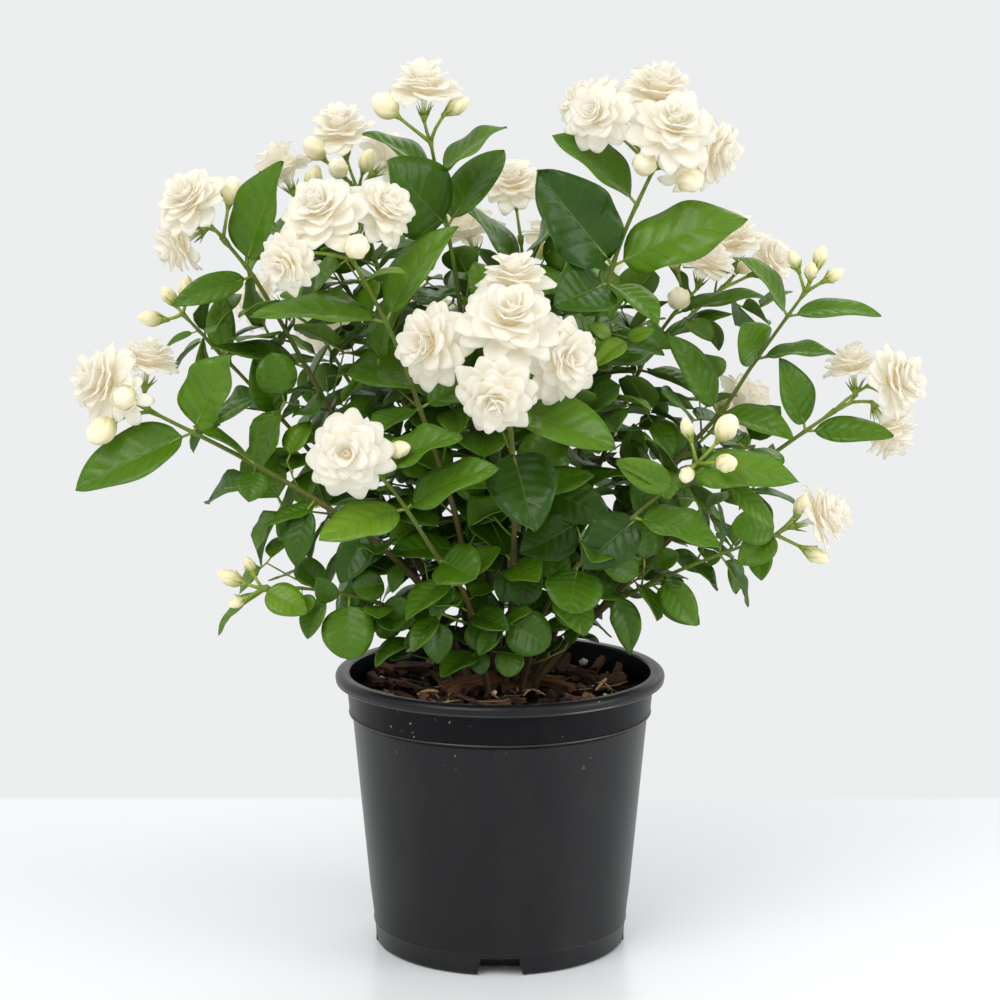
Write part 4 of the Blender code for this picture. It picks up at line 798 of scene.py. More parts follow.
class CaneSettings(bpy.types.PropertyGroup):
    """The canes, stalks and calyxes."""

    wood: colour_setting("Old wood", "Colour of a cane near the mix", (0.066, 0.037, 0.019))
    olive: colour_setting("Middle", "Colour of a cane halfway up", (0.100, 0.086, 0.020))
    green: colour_setting("Green wood", "Colour of a cane near its tip", (0.130, 0.205, 0.022))
    young: colour_setting("Young", "Colour of leaf stalks and calyxes", (0.33, 0.43, 0.07))
    roughness: share_setting("Roughness", "How matt the bark is", 0.55)


class LeafSettings(bpy.types.PropertyGroup):
    """The leaves."""

    thickness: length_setting("Thickness", "Thickness of a blade", 0.4)
    fold: FloatProperty(
        name="Fold", description="How far each half of a blade stands up from the midrib",
        default=math.radians(17), min=0, max=math.radians(60), subtype="ANGLE")
    # The oldest leaves' colour also serves as painted shade in the grooves along the side veins.
    old: colour_setting("Old leaf", "Colour of the oldest leaves", (0.024, 0.078, 0.0025))
    ripe: colour_setting("Leaf", "Colour of a full-grown leaf", (0.085, 0.203, 0.0045))
    young: colour_setting("Young leaf", "Colour of the youngest leaves", (0.205, 0.365, 0.018))
    vein: colour_setting("Vein", "Colour of midrib and veins", (0.17, 0.29, 0.055))
    under: colour_setting("Underside", "Colour of the paler underside", (0.105, 0.205, 0.033))
    gloss: share_setting("Gloss", "Roughness of the waxy upper side", 0.31)


class BloomSettings(bpy.types.PropertyGroup):
    """The petals, open and in bud."""

    thickness: length_setting("Thickness", "Thickness of a petal", 0.35)
    petal: colour_setting("Petal", "Colour of an open petal", (0.935, 0.915, 0.855))
    # The heart colour is partly the petals' own ochre toward their bases and partly painted shade deep
    # between the petals.
    heart: colour_setting("Heart", "Colour deep between the petals", (0.90, 0.69, 0.28))
    # Painted glow: the next two colours are emissions that lift the shade of petals and buds, in place of
    # light scattered inside and between the petals.
    glow: colour_setting("Glow", "Light that scatters inside the petals", (0.140, 0.131, 0.106))
    deep_glow: colour_setting("Deep glow", "Light that scatters between the petals", (0.21, 0.150, 0.052))
    tube: colour_setting("Tube", "Colour of the pale green flower tube", (0.52, 0.60, 0.27))
    bud: colour_setting("Bud", "Colour of a fat bud", (0.90, 0.82, 0.54))
    bud_foot: colour_setting("Bud foot", "Colour of a bud just above its calyx", (0.42, 0.46, 0.14))


class StageSettings(bpy.types.PropertyGroup):
    """Floor, light and camera."""

    floor: colour_setting("Floor", "Colour of the floor", (0.80, 0.825, 0.84))
    air: colour_setting("Background", "Colour of the light from all round", (0.845, 0.855, 0.86))
    key: power_setting("Key", "Power of the large light", 25)
    fill: power_setting("Fill", "Power of the light from the right", 14)
    back: power_setting("Back", "Power of the light from behind", 7)
    lens: FloatProperty(
        name="Lens", description="Focal length", default=89.1, min=1, subtype="DISTANCE_CAMERA")


# Lines and tubes


def curve_point(points, place):
    """A point on the smooth curve through the points, with place counted in points."""
    spans = len(points) - 1
    i = min(int(place), spans - 1)
    t = place - i
    before = points[i - 1] if i else points[0] * 2 - points[1]
    after = points[i + 2] if i + 2 <= spans else points[spans] * 2 - points[spans - 1]
    a, b = points[i], points[i + 1]
    bend = (before * 2 - a * 5 + b * 4 - after) * t * t + (a * 3 - before - b * 3 + after) * t ** 3
    return (a * 2 + (b - before) * t + bend) * 0.5


def line_length(line):
    return sum((b - a).length for a, b in zip(line, line[1:]))


def line_point(line, along):
    """The point of a polyline at a share of its length."""
    left = line_length(line) * along
    for a, b in zip(line, line[1:]):
        step = (b - a).length
        if left <= step:
            return a.lerp(b, left / step)
        left -= step
    return line[-1].copy()


def line_direction(line, along):
    ahead = line_point(line, min(along + LOOK_AHEAD, 1)) - line_point(line, along - LOOK_AHEAD)
    return ahead.normalized()


def looks(flower):
    """The way that a flower faces."""
    return Vector(flower.faces).normalized()


def facing(faces):
    """The turn that points +Z the way a flower faces."""
    return Vector(faces).normalized().to_track_quat("Z", "Y")


def standing(foot, turn):
    """The matrix of a thing that stands on its foot, turned."""
    return Matrix.Translation(foot) @ turn.to_matrix().to_4x4()


def any_way(draw):
    """A random vector, up to 1 along each axis."""
    return Vector([draw.uniform(-1, 1) for _ in range(3)])


@cache
def shoot_points(name):
    """The points that a shoot's curve passes, without its foot in the mix."""
    shoot = SHOOTS[name]
    route = [Vector(point) for point in shoot.route]
    if isinstance(shoot.foot[0], str):
        parent, along = shoot.foot
        return [line_point(shoot_line(parent), along), *route]
    foot = shoot_foot(name)
    start = foot + (route[0] - foot) * FOOT_LEAN
    start.z = foot.z + FOOT_RUN
    return [start, *route]


def shoot_foot(name):
    return Vector((*SHOOTS[name].foot, SOIL_TOP - HOLE_DEPTH + HOLE_GAP))


@cache
def shoot_line(name, step=STEM_STEP):
    """The polyline of a shoot, from its foot in the mix or from the shoot that it leaves."""
    points = shoot_points(name)
    below = [] if isinstance(SHOOTS[name].foot[0], str) else [shoot_foot(name)]
    steps = max(2, round(line_length(points) / step))
    return below + [curve_point(points, i / steps * (len(points) - 1)) for i in range(steps + 1)]


def shoot_radius(name, along):
    low, high = SHOOTS[name].radii
    return low + (high - low) * along ** STEM_TAPER


def add_ring(shell, centre, turn, radius, sides):
    """A circle of corners; gives its edges in order."""
    corners = bmesh.ops.create_circle(
        shell, radius=radius, segments=sides, matrix=standing(centre, turn))["verts"]
    return corners, list(dict.fromkeys(edge for corner in corners for edge in corner.link_edges))


def add_tube(shell, line, radii, sides, tints):
    """A closed tube along the line, with its own radius and tint at each point and no twist."""
    tint = shell.verts.layers.float["tint"]
    rings = []
    ahead, turn = UP, Quaternion()
    for i, (point, radius) in enumerate(zip(line, radii)):
        before, ahead = ahead, line[min(i + 1, len(line) - 1)] - line[max(i - 1, 0)]
        turn = before.rotation_difference(ahead) @ turn
        corners, edges = add_ring(shell, point, turn, radius, sides)
        for corner in corners:
            corner[tint] = tints[i]
        rings.append(edges)
    for low, high in zip(rings, rings[1:]):
        bmesh.ops.bridge_loops(shell, edges=low + high)
    for edges in (rings[0], rings[-1]):
        bmesh.ops.contextual_create(shell, geom=edges)


def new_shell():
    """An empty bmesh with the layers that the materials read."""
    shell = bmesh.new()
    for name in ("tint", "quilt"):
        shell.verts.layers.float.new(name)
    shell.loops.layers.uv.new("UVMap")
    return shell


def add_grid(shell, columns, rows):
    """A flat grid of faces with UV, from -1 to 1 both ways; gives its corners."""
    return bmesh.ops.create_grid(
        shell, x_segments=columns, y_segments=rows, size=1, calc_uvs=True)["verts"]


def new_object(name, shell):
    """Turns a shell into an object in metres."""
    mesh = bpy.data.meshes.new(name)
    shell.to_mesh(mesh)
    shell.free()
    mesh.transform(Matrix.Scale(MM, 4))
    made = bpy.data.objects.new(name, mesh)
    bpy.context.scene.collection.objects.link(made)
    return made


def add_piece(name, shell, finishes, nodes=(), closed=True):
    """Makes the shell a smooth object that rides on the body and stands for its CAD nodes."""
    if closed:
        bmesh.ops.recalc_face_normals(shell, faces=shell.faces)
    piece = new_object(name, shell)
    for finish in finishes:
        piece.data.materials.append(finish)
    piece.data.shade_smooth()
    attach(piece, BODY)
    if nodes:
        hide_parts(*nodes)
    return piece


def give_thickness(piece, thickness, offset, under=0):
    """A sheet's thickness, with another material on its underside where one is given."""
    modifier = piece.modifiers.new("thickness", "SOLIDIFY")
    modifier.thickness = thickness
    modifier.offset = offset
    modifier.material_offset = under
    modifier.material_offset_rim = under


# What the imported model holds


@cache
def node_corners(node):
    """A tree of a CAD node's corners, in millimetres."""
    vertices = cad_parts[node].data.vertices
    corners = KDTree(len(vertices))
    for vertex in vertices:
        corners.insert(vertex.co / MM, vertex.index)
    corners.balance()
    return corners


def built(node, tries, corner_of):
    """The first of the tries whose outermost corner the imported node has, or None."""
    corners = node_corners(node)
    for place in tries:
        if corners.find(corner_of(place))[2] < MATCH:
            return place
    return None


def fixed_leaf_tries(leaf, number):
    """The places that a leaf of the front view may take, the wished one first."""
    draw = random.Random(f"front leaf {number}")
    base = line_point(shoot_line(leaf.shoot), leaf.along)
    wished = Vector(leaf.tip)
    for n in range(LEAF_TRIES):
        stray = any_way(draw) * TRY_STRAY * n
        tip = base + (wished + stray - base) * (1 - TRY_SHORTER * n)
        yield base, tip, leaf.width, Vector(leaf.faces), math.radians(draw.uniform(-1, 1) * TRY_ROLL * n)


def rule_leaf_places(name):
    """Where the opposite pairs of a shoot grow, each pair a quarter turn from the last."""
    start, stop, spacing, size = SHOOTS[name].leaves
    pairs = max(1, round(line_length(shoot_line(name)) * (stop - start) / spacing))
    fixed = [leaf.along for leaf in LEAVES if leaf.shoot == name]
    for pair in range(pairs):
        along = start + (stop - start) * (pair + 0.5) / pairs
        if not any(abs(along - other) < PAIR_APART for other in fixed):
            for side in (1, -1):
                yield along, pair, side, size


def rule_leaf_tries(name, along, pair, side, size):
    """The places that a leaf of a pair may take: out from the stem, arching over, its face to the light."""
    draw = random.Random(f"{name} {pair} {side}")
    base = line_point(shoot_line(name), along)
    stem = line_direction(shoot_line(name), along)
    first = (PAIR_LOOKS - stem * stem.dot(PAIR_LOOKS)).normalized()
    second = stem.cross(first)
    outward = Vector((base.x, base.y, 0)) / PLANT_REACH * FACES_OUT
    for n in range(LEAF_TRIES):
        turn = 90 * pair + draw.uniform(-1, 1) * PAIR_TURN + draw.uniform(-1, 1) * PAIR_TRY_TURN * n
        spread = draw.uniform(*PAIR_SPREAD) + draw.uniform(-1, 1) * PAIR_TRY_SPREAD * n
        turn, spread = math.radians(turn), math.radians(spread)
        out = (first * math.cos(turn) + second * math.sin(turn)) * side
        ahead = stem * math.cos(spread) + out * math.sin(spread) - UP * draw.uniform(*PAIR_DROOP)
        length = size * draw.uniform(*PAIR_LENGTH) * (1 - PAIR_TRY_SHORTER * n)
        faces = UP + outward + Vector((draw.uniform(-0.3, 0.3), draw.uniform(-0.5, 0.1), 0))
        width = draw.uniform(*PAIR_WIDTH)
        roll = math.radians(draw.uniform(-1, 1) * PAIR_ROLL)
        yield base, base + ahead.normalized() * length, width, faces, roll


def bloom_tries(flower):
    """The throat and radius that a bloom may take: pushed out, aside and a little smaller at each try."""
    draw = random.Random(f"{flower.shoot} {flower.place}")
    ahead = looks(flower)
    for n in range(BLOOM_TRIES):
        stray = any_way(draw) * BLOOM_TRY_STRAY * n
        throat = Vector(flower.place) + ahead * (BLOOM_TRY_OUT * n - THROAT_BACK) + stray
        yield throat, flower.size / 2 * (1 - BLOOM_TRY_SMALLER * n)


@cache
def bloom_places():
    """The throat and radius of each bloom, by its flower."""
    places = {}
    for number, flower in enumerate((f for f in FLOWERS if f.kind == "bloom"), 1):
        name, ahead = f"bloom_{number:02d}", looks(flower)
        place = built(name, bloom_tries(flower), lambda p: p[0] + ahead * HEART_HEIGHT)
        if place is None:
            raise ValueError(f"{name} isn't where the flower table says")
        places[flower] = place
    return places


# Leaves


def leaf_frame(base, tip, faces, roll):
    """The leaf's length, its direction, its sideways direction and the way its upper side looks."""
    ahead = tip - base
    length = ahead.length
    ahead = ahead / length
    normal = faces.normalized()
    normal = (normal - ahead * normal.dot(ahead)).normalized()
    normal = Matrix.Rotation(roll, 3, ahead) @ normal
    return length, ahead, normal.cross(ahead), normal


class Blade:
    """The bent surface of one leaf, from the foot of its blade to its tip."""

    def __init__(self, place, radius, seed, tint, grid=LEAF_GRID):
        base, tip, width, faces, roll = place
        draw = random.Random(seed)
        self.base = base
        self.length, self.ahead, self.side, self.normal = leaf_frame(base, tip, faces, roll)
        self.half = width * self.length / 2
        petiole, share = PETIOLE
        self.foot = (radius + petiole) / self.length + share
        self.powers = ROUND_OUTLINE if width > ROUND_WIDTH else OUTLINE
        self.fold = bpy.context.scene.jasmine_leaf.fold * draw.uniform(0.3, 1.5)
        self.twist = draw.uniform(-0.4, 0.4)
        self.sway = draw.uniform(-1, 1) * LEAF_SWAY * self.length
        self.waves = draw.uniform(*LEAF_WAVES)
        rough = min(1, self.length / LARGE_LEAF) ** 2
        self.wave = draw.uniform(0.03, 0.15) * self.half * rough
        self.phase = draw.uniform(0, 6)
        self.curl = draw.uniform(-0.05, 0.18)
        self.hook = draw.uniform(-0.015, 0.06) * self.length
        self.tint = min(1, max(0, tint + draw.uniform(-0.16, 0.16)))
        self.grid = grid
        self.rough = rough
        self.quilt = QUILT_RISE * rough if grid == LEAF_GRID else 0

    def half_width(self, along):
        """Half the blade's width at a share of its length."""
        low, high = self.powers
        full = low ** low * high ** high / (low + high) ** (low + high)
        return max(self.half * along ** low * (1 - along) ** high / full, EDGE_LEFT)

    def point(self, across, along, lift=0.0):
        """A point of the blade: across from -1 to 1, along from its foot at 0 to its tip at 1."""
        whole = self.foot + (1 - self.foot) * along
        half = self.half_width(along)
        out = abs(across)
        lateral = half * across * math.cos(self.fold)
        rise = half * (out * math.sin(self.fold) - 0.35 * math.sin(self.fold) - self.curl * out * out)
        swing = math.sin(2 * math.pi * self.waves * along + self.phase * (across > 0))
        rise += self.wave * out * out * swing
        quilt = abs(math.cos(math.pi * VEINS * (along - VEIN_SLANT * out ** VEIN_CURVE + VEIN_START)))
        rise += self.quilt * (quilt - 0.5) * 4 * out * (1 - out) * math.sin(math.pi * along)
        rise -= GROOVE * math.exp(-(out / GROOVE_WIDTH) ** 2) * (1 - along)
        turn = self.twist * (along - 0.3)
        lateral, rise = (
            lateral * math.cos(turn) - rise * math.sin(turn),
            lateral * math.sin(turn) + rise * math.cos(turn))
        arch = LEAF_ARCH * self.length * 4 * whole * (1 - whole) - self.hook * along ** 4
        lateral += self.sway * math.sin(math.pi * along)
        return (
            self.base + self.ahead * (whole * self.length) - self.side * lateral
            + self.normal * (arch + rise + lift))

    def add_to(self, shell):
        """The blade's faces, with UV across and along."""
        tint, quilt = (shell.verts.layers.float[name] for name in ("tint", "quilt"))
        for corner in add_grid(shell, *self.grid):
            across = math.copysign(abs(corner.co.x) ** COLUMN_SPREAD, corner.co.x)
            corner.co = self.point(across, min(1, max(0, (corner.co.y + 1) / 2)))
            corner[tint] = self.tint
            corner[quilt] = self.rough

    def add_rib(self, shell, start, sides=5):
        """The leaf stalk, which runs on under the blade as its midrib."""
        size = PETIOLE_RADIUS * min(1, self.length / FULL_STALK)
        radii = [size * share for share in STALK_SHARES] + [RIB_TIP_RADIUS]
        foot = self.point(0, 0, -radii[2] * RIB_AT_FOOT)
        line = [start, start.lerp(foot, 0.6), foot]
        line += [self.point(0, along, -radius - RIB_SINK) for along, radius in zip(RIB_PLACES, radii[3:])]
        add_tube(shell, line, radii, sides, [PETIOLE_TINT] * len(line))


Grown = namedtuple("Grown", "shoot along blade")


@cache
def cad_leaves():
    """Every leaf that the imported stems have."""
    grown = []

    def add(name, along, tries, seed, tint):
        place = built(SHOOTS[name].stem, tries, lambda p: p[1])
        if place:
            grown.append(Grown(name, along, Blade(place, shoot_radius(name, along), seed, tint)))

    for number, leaf in enumerate(LEAVES):
        tint = FRONT_TINT[0] + FRONT_TINT[1] * leaf.along
        tint = YOUNG_TINT if leaf.tip in YOUNG_LEAVES else OLD_TINT if leaf.tip in OLD_LEAVES else tint
        add(leaf.shoot, leaf.along, fixed_leaf_tries(leaf, number), f"fixed {number}", tint)
    for name in SHOOTS:
        for along, pair, side, size in rule_leaf_places(name):
            tint = PAIR_TINT[0] + PAIR_TINT[1] * along
            add(name, along, rule_leaf_tries(name, along, pair, side, size), f"{name} {pair} {side}", tint)
    return grown


# Leaves of the photo that the CAD has no room for


@cache
def photo_leaves():
    """The leaves of LOW_LEAVES, each on a long stalk from its cane."""
    grown = []
    for leaf in LOW_LEAVES:
        roll = math.radians(random.Random(str(leaf.tip)).uniform(-1, 1) * PAIR_ROLL)
        place = (Vector(leaf.base), Vector(leaf.tip), leaf.width, Vector(FRONT_FACE), roll)
        grown.append(Grown(leaf.shoot, leaf.along, Blade(place, -PETIOLE[0], str(leaf.base), leaf.tint)))
    return grown


# Sprigs between the CAD leaves


Sprig = namedtuple("Sprig", "shoot line blades")


class Space:
    """What is taken: the whole CAD model as one tree, and each sprig's leaf as it is placed."""

    def __init__(self):
        places, faces = [], []
        for name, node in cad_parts.items():
            if name != "pot":
                first = len(places)
                places += [vertex.co / MM for vertex in node.data.vertices]
                faces += [[first + i for i in face.vertices] for face in node.data.polygons]
        self.cad = BVHTree.FromPolygons(places, faces)
        blades = [grown.blade for grown in photo_leaves()]
        self.sprigs = [(blade.point(0, 0.5), blade.length, self.leaf_tree(blade)) for blade in blades]

    def leaf_tree(self, blade):
        """Two thin sheets a little above and below the blade."""
        rows = (0.12, 0.35, 0.6, 0.82, 1.0)
        places, faces = [], []
        for lift in (-SPRIG_CLEAR, SPRIG_CLEAR):
            first = len(places)
            places += [blade.point(across, along, lift) for along in rows for across in (-1, 0, 1)]
            for row in range(len(rows) - 1):
                for column in range(2):
                    low = first + row * 3 + column
                    faces.append((low, low + 1, low + 4, low + 3))
        return BVHTree.FromPolygons(places, faces)

    def takes(self, blade):
        """Takes the blade's space if nothing has it."""
        middle, reach = blade.point(0, 0.5), blade.length
        tree = self.leaf_tree(blade)
        if tree.overlap(self.cad):
            return False
        for other, other_reach, other_tree in self.sprigs:
            if (other - middle).length < (reach + other_reach) * SPRIG_NEAR and tree.overlap(other_tree):
                return False
        self.sprigs.append((middle, reach, tree))
        return True


def sprig_blade(base, ahead, faces, length, draw, seed, tint):
    """One small leaf of a sprig."""
    width = draw.uniform(*SPRIG_WIDTH)
    roll = math.radians(draw.uniform(-1, 1) * PAIR_ROLL)
    place = (base, base + ahead.normalized() * length, width, faces, roll)
    return Blade(place, SPRIG_RADIUS[0], seed, tint, SMALL_LEAF_GRID)


def sprig_leaf(space, base, stem, out, size, draw, seed, tint):
    """A leaf that finds room near where it wants to grow, or None."""
    outward = Vector((base.x, base.y, 0)) / PLANT_REACH * FACES_OUT
    for n in range(SPRIG_TRIES):
        stray = any_way(draw) * SPRIG_STRAY * n
        ahead = stem * 0.45 + out + stray - UP * draw.uniform(*PAIR_DROOP)
        faces = UP + outward + Vector((draw.uniform(-0.4, 0.4), draw.uniform(-0.6, 0.1), 0))
        length = size * draw.uniform(*SPRIG_LEAF) * (1 - SPRIG_TRY_SHORTER * n)
        blade = sprig_blade(base, ahead, faces, length, draw, seed, tint)
        low = min(blade.point(0, share).z for share in (0, 0.5, 1))
        behind = blade.point(0, 0.5).y > SPRIG_FRONT
        if behind and low > SOIL_TOP + SPRIG_ABOVE_MIX and space.takes(blade):
            return blade
    return None


@cache
def sprigs():
    """The short side sprigs of every shoot, with the leaves that find room."""
    space = Space()
    grown = []
    for name, shoot in SHOOTS.items():
        line = shoot_line(name, CANE_STEP)
        start, stop, _, size = shoot.leaves
        count = max(1, round(line_length(line) * (stop - start) / SPRIG_SPACING))
        for number in range(count * 2):
            draw = random.Random(f"sprig {name} {number}")
            along = start - 0.04 + (stop - start + 0.06) * (number // 2 + draw.random()) / count
            base = line_point(line, along)
            stem = line_direction(line, along)
            turn = math.radians(90 * (number // 2) + 180 * (number % 2) + draw.uniform(-40, 40))
            spread = math.radians(draw.uniform(*SPRIG_SPREAD))
            first = (PAIR_LOOKS - stem * stem.dot(PAIR_LOOKS)).normalized()
            out = first * math.cos(turn) + stem.cross(first) * math.sin(turn)
            ahead = stem * math.cos(spread) + out * math.sin(spread)
            tip = base + ahead * draw.uniform(*SPRIG_LENGTH)
            twig = [base, base.lerp(tip, 0.5) + UP * -0.8, tip]
            across = ahead.cross(UP).normalized()
            blades = []
            for pair, share in enumerate(SPRIG_PAIRS):
                sides = (across, -across) if pair % 2 == 0 else (ahead.cross(across), across.cross(ahead))
                for side, out in enumerate(sides):
                    seed = f"sprig leaf {name} {number} {pair} {side}"
                    tint = SPRIG_TINT[0] + SPRIG_TINT[1] * along + SPRIG_TINT[2] * pair
                    blade = sprig_leaf(space, line_point(twig, share), ahead, out, size, draw, seed, tint)
                    if blade:
                        blades.append(blade)
            if blades:
                grown.append(Sprig(name, twig, blades))
    return grown


# Materials


def leaf_veins(finish):
    """Distance from the midrib and from the next side vein, and masks of both."""
    u, v = finish.uv()
    out = abs(u - 0.5) * 2
    midrib = (out / (0.075 - v * 0.045)).between(1.0, 0.35)
    phase = abs(((v - out ** VEIN_CURVE * VEIN_SLANT + VEIN_START) * VEINS).fraction() - 0.5)
    side_vein = phase.between(0.06, 0.015) * out.between(0.97, 0.75)
    return out, phase, midrib, side_vein


def leaf_top_finish(settings):
    """The waxy upper side: painted shade in the sunken groove of each side vein, paler along midrib, veins
    and margin.
    """
    finish = Finish("leaf_top")
    tint = finish.attribute("tint")
    out, phase, midrib, side_vein = leaf_veins(finish)
    cloud = finish.noise(finish.object_place(0.05), detail=3)
    mottle = finish.noise(finish.object_place(0.45), detail=2)
    age = tint + (cloud - 0.5) * 0.3
    colour = finish.mix(age.between(0.0, 0.5), settings.old, settings.ripe)
    colour = finish.mix(age.between(0.5, 1.05), colour, settings.young)
    colour = finish.mix(mottle.between(0.35, 0.75) * (tint * -0.3 + 0.33), colour, settings.old)
    quilt = finish.attribute("quilt")
    # Painted shade: darker in the sunken groove along each side vein, more so on the larger, quilted leaves.
    colour = finish.mix(phase.between(0.14, 0.0) * quilt * 0.25, colour, settings.old)
    colour = finish.mix(side_vein * 0.09, colour, settings.vein)
    colour = finish.mix(midrib * 0.34, colour, settings.vein)
    colour = finish.mix(out.between(0.94, 1.0) * 0.15, colour, settings.vein)
    fine = finish.noise(finish.object_place(1.1), detail=3)
    height = phase.between(0.0, 0.42) * (quilt * 0.5 + 0.08) + fine * 0.12 - midrib * 0.3 + mottle * 0.45
    finish.finish(
        Base_Color=colour, Roughness=mottle * 0.16 + (settings.gloss - 0.07),
        Normal=finish.bump(height, 0.42))
    finish.finish(Specular_IOR_Level=0.32)
    finish.let_light_through(finish.mix(0.45, colour, settings.young), 0.16)
    return finish.material


def leaf_under_finish(settings):
    """The matt, paler underside with raised veins."""
    finish = Finish("leaf_under")
    tint = finish.attribute("tint")
    midrib, side_vein = leaf_veins(finish)[2:]
    mottle = finish.noise(finish.object_place(0.4), detail=2)
    colour = finish.mix(tint * 0.5, settings.under, settings.young)
    colour = finish.mix(mottle * 0.35, colour, settings.ripe)
    colour = finish.mix(side_vein * 0.4 + midrib * 0.5, colour, settings.vein)
    height = side_vein * 0.8 + midrib + mottle * 0.3
    finish.finish(Specular_IOR_Level=0.3)
    finish.finish(Base_Color=colour, Roughness=mottle * 0.1 + 0.5, Normal=finish.bump(height, 0.2))
    finish.let_light_through(finish.mix(0.45, colour, settings.young), 0.16)
    return finish.material


def cane_finish(settings):
    """Brown bark at the foot that turns olive, then green; leaf stalks and calyxes are paler."""
    finish = Finish("cane")
    tint = finish.attribute("tint")
    streak = finish.noise(finish.object_place(0.9, (1, 1, 0.12)), detail=3)
    patch = finish.noise(finish.object_place(0.14), detail=2)
    age = tint + (patch - 0.5) * 0.25
    colour = finish.mix(age.between(0.05, 0.38), settings.wood, settings.olive)
    colour = finish.mix(age.between(0.35, 0.68), colour, settings.green)
    colour = finish.mix(age.between(0.66, 0.9), colour, settings.young)
    bark = finish.mix(0.5, settings.wood, settings.olive)
    colour = finish.mix(streak.between(0.45, 0.8) * 0.45, colour, bark)
    height = streak + patch * 0.3
    finish.finish(Specular_IOR_Level=0.25)
    return finish.finish(
        Base_Color=colour, Roughness=streak * 0.2 + (settings.roughness - 0.1),
        Normal=finish.bump(height, 0.25))


def petal_finish(settings):
    """Warm white, ochre deep in the heart (partly the petals' own tone, partly painted shade), faint
    lengthwise ribs, and a painted glow that lifts their shade.
    """
    finish = Finish("petal")
    u, v = finish.uv()
    tint = finish.attribute("tint")
    cloud = finish.noise(finish.object_place(0.12), detail=2)
    # Ochre toward the petal bases and the inner whorls: partly the petals' own tone, partly painted shade in
    # the crevices of the heart.
    deep = v.between(0.72, 0.1) * (tint * 0.85 + 0.1)
    colour = finish.mix(deep, settings.petal, settings.heart)
    colour = finish.mix(cloud.between(0.4, 0.8) * 0.10, colour, settings.bud)
    rib = ((u * 46 + cloud * 5).sine()) * 0.5 + 0.5
    fine = finish.noise(finish.object_place(0.8), detail=2)
    height = rib * 0.5 * v.between(0.02, 0.5) + fine * 0.7
    # Painted glow: an emission that lifts the petals' shade, warmer where the ochre lies deep in the heart.
    glow = finish.mix(deep, settings.glow, settings.deep_glow)
    finish.finish(Specular_IOR_Level=0.3, Emission_Strength=1.0)
    finish.finish(
        Base_Color=colour, Roughness=fine * 0.15 + 0.42, Emission_Color=glow,
        Normal=finish.bump(height, 0.08))
    finish.let_light_through(settings.petal, 0.5)
    return finish.material


def tube_finish(settings):
    """The flower tube: pale green at the calyx, nearly white at the throat."""
    finish = Finish("petal_tube")
    tint = finish.attribute("tint")
    fine = finish.noise(finish.object_place(0.7, (1, 1, 0.4)), detail=2)
    colour = finish.mix((tint + (fine - 0.5) * 0.3).between(0.0, 1.0), settings.tube, settings.petal)
    return finish.finish(Base_Color=colour, Roughness=fine * 0.1 + 0.42, Normal=finish.bump(fine, 0.12))


def bud_finish(settings):
    """Cream, greener toward the calyx, with darker seams where the furled petals lap, and a painted glow
    that lifts its shade.
    """
    finish = Finish("bud")
    tint = finish.attribute("tint")
    fine = finish.noise(finish.object_place(0.5), detail=2)
    colour = finish.mix((tint + (fine - 0.5) * 0.2).between(0.05, 0.55), settings.bud_foot, settings.bud)
    colour = finish.mix(tint.between(0.6, 1.0) * 0.5, colour, settings.petal)
    # Painted glow: an emission that lifts the bud's shade.
    glow = finish.mix(0.4, settings.glow, settings.deep_glow)
    finish.finish(Specular_IOR_Level=0.35, Emission_Strength=0.6)
    finish.finish(
        Base_Color=colour, Roughness=fine * 0.12 + 0.4, Emission_Color=glow, Normal=finish.bump(fine, 0.12))
    finish.let_light_through(settings.bud, 0.12)
    return finish.material


def pot_finish(settings, name="pot_plastic", shine=0.27, polish=0):
    """Moulded black plastic: a faint pebble, handling marks, and dust below the rim."""
    finish = Finish(name)
    height = finish.node("SeparateXYZ", {}, {0: finish.object_place()}, output=2)
    pebble = finish.noise(finish.object_place(0.9), detail=2)
    smear = finish.noise(finish.object_place(0.035, (1, 1, 0.4)), detail=4, roughness=0.6)
    speck = finish.noise(finish.object_place(0.42), detail=1)
    rare = finish.noise(finish.object_place(0.045), detail=1)
    dust = speck.between(0.735, 0.765) * rare.between(0.5, 0.62) * height.between(96, 124)
    film = smear.between(0.45, 0.8) * 0.02
    finish.finish(Specular_IOR_Level=shine)
    colour = finish.mix(film + dust * 0.8, settings.plastic, settings.dust)
    return finish.finish(
        Base_Color=colour, Roughness=smear * 0.14 + (settings.roughness - 0.07 - polish) + dust * 0.3,
        Normal=finish.bump(pebble + smear * 0.6, 0.05))


def collar_finish(settings):
    """A duller copy of the plastic: painted shade on the collar under the rim and on the inside."""
    return pot_finish(settings, "pot_collar_shade", 0.08)


def edge_finish(settings):
    """A brighter, glossier copy of the plastic: painted highlight on the edges of the step and of the rim.
    """
    return pot_finish(settings, "pot_edge_highlight", 0.6, 0.08)


def earth_finish(settings):
    """The fine mix between the chips: near black, partly its own tone and partly painted shade in the gaps,
    with paler crumbs.
    """
    finish = Finish("potting_mix")
    crumb = finish.noise(finish.object_place(0.5), detail=4, roughness=0.65)
    patch = finish.noise(finish.object_place(0.06), detail=2)
    colour = finish.mix(crumb.between(0.45, 0.75) * 0.6, settings.earth, settings.bark)
    colour = finish.mix(patch.between(0.5, 0.8) * 0.4, colour, settings.earth)
    finish.finish(Specular_IOR_Level=0.1)
    return finish.finish(Base_Color=colour, Roughness=crumb * 0.1 + 0.85, Normal=finish.bump(crumb, 1.6))


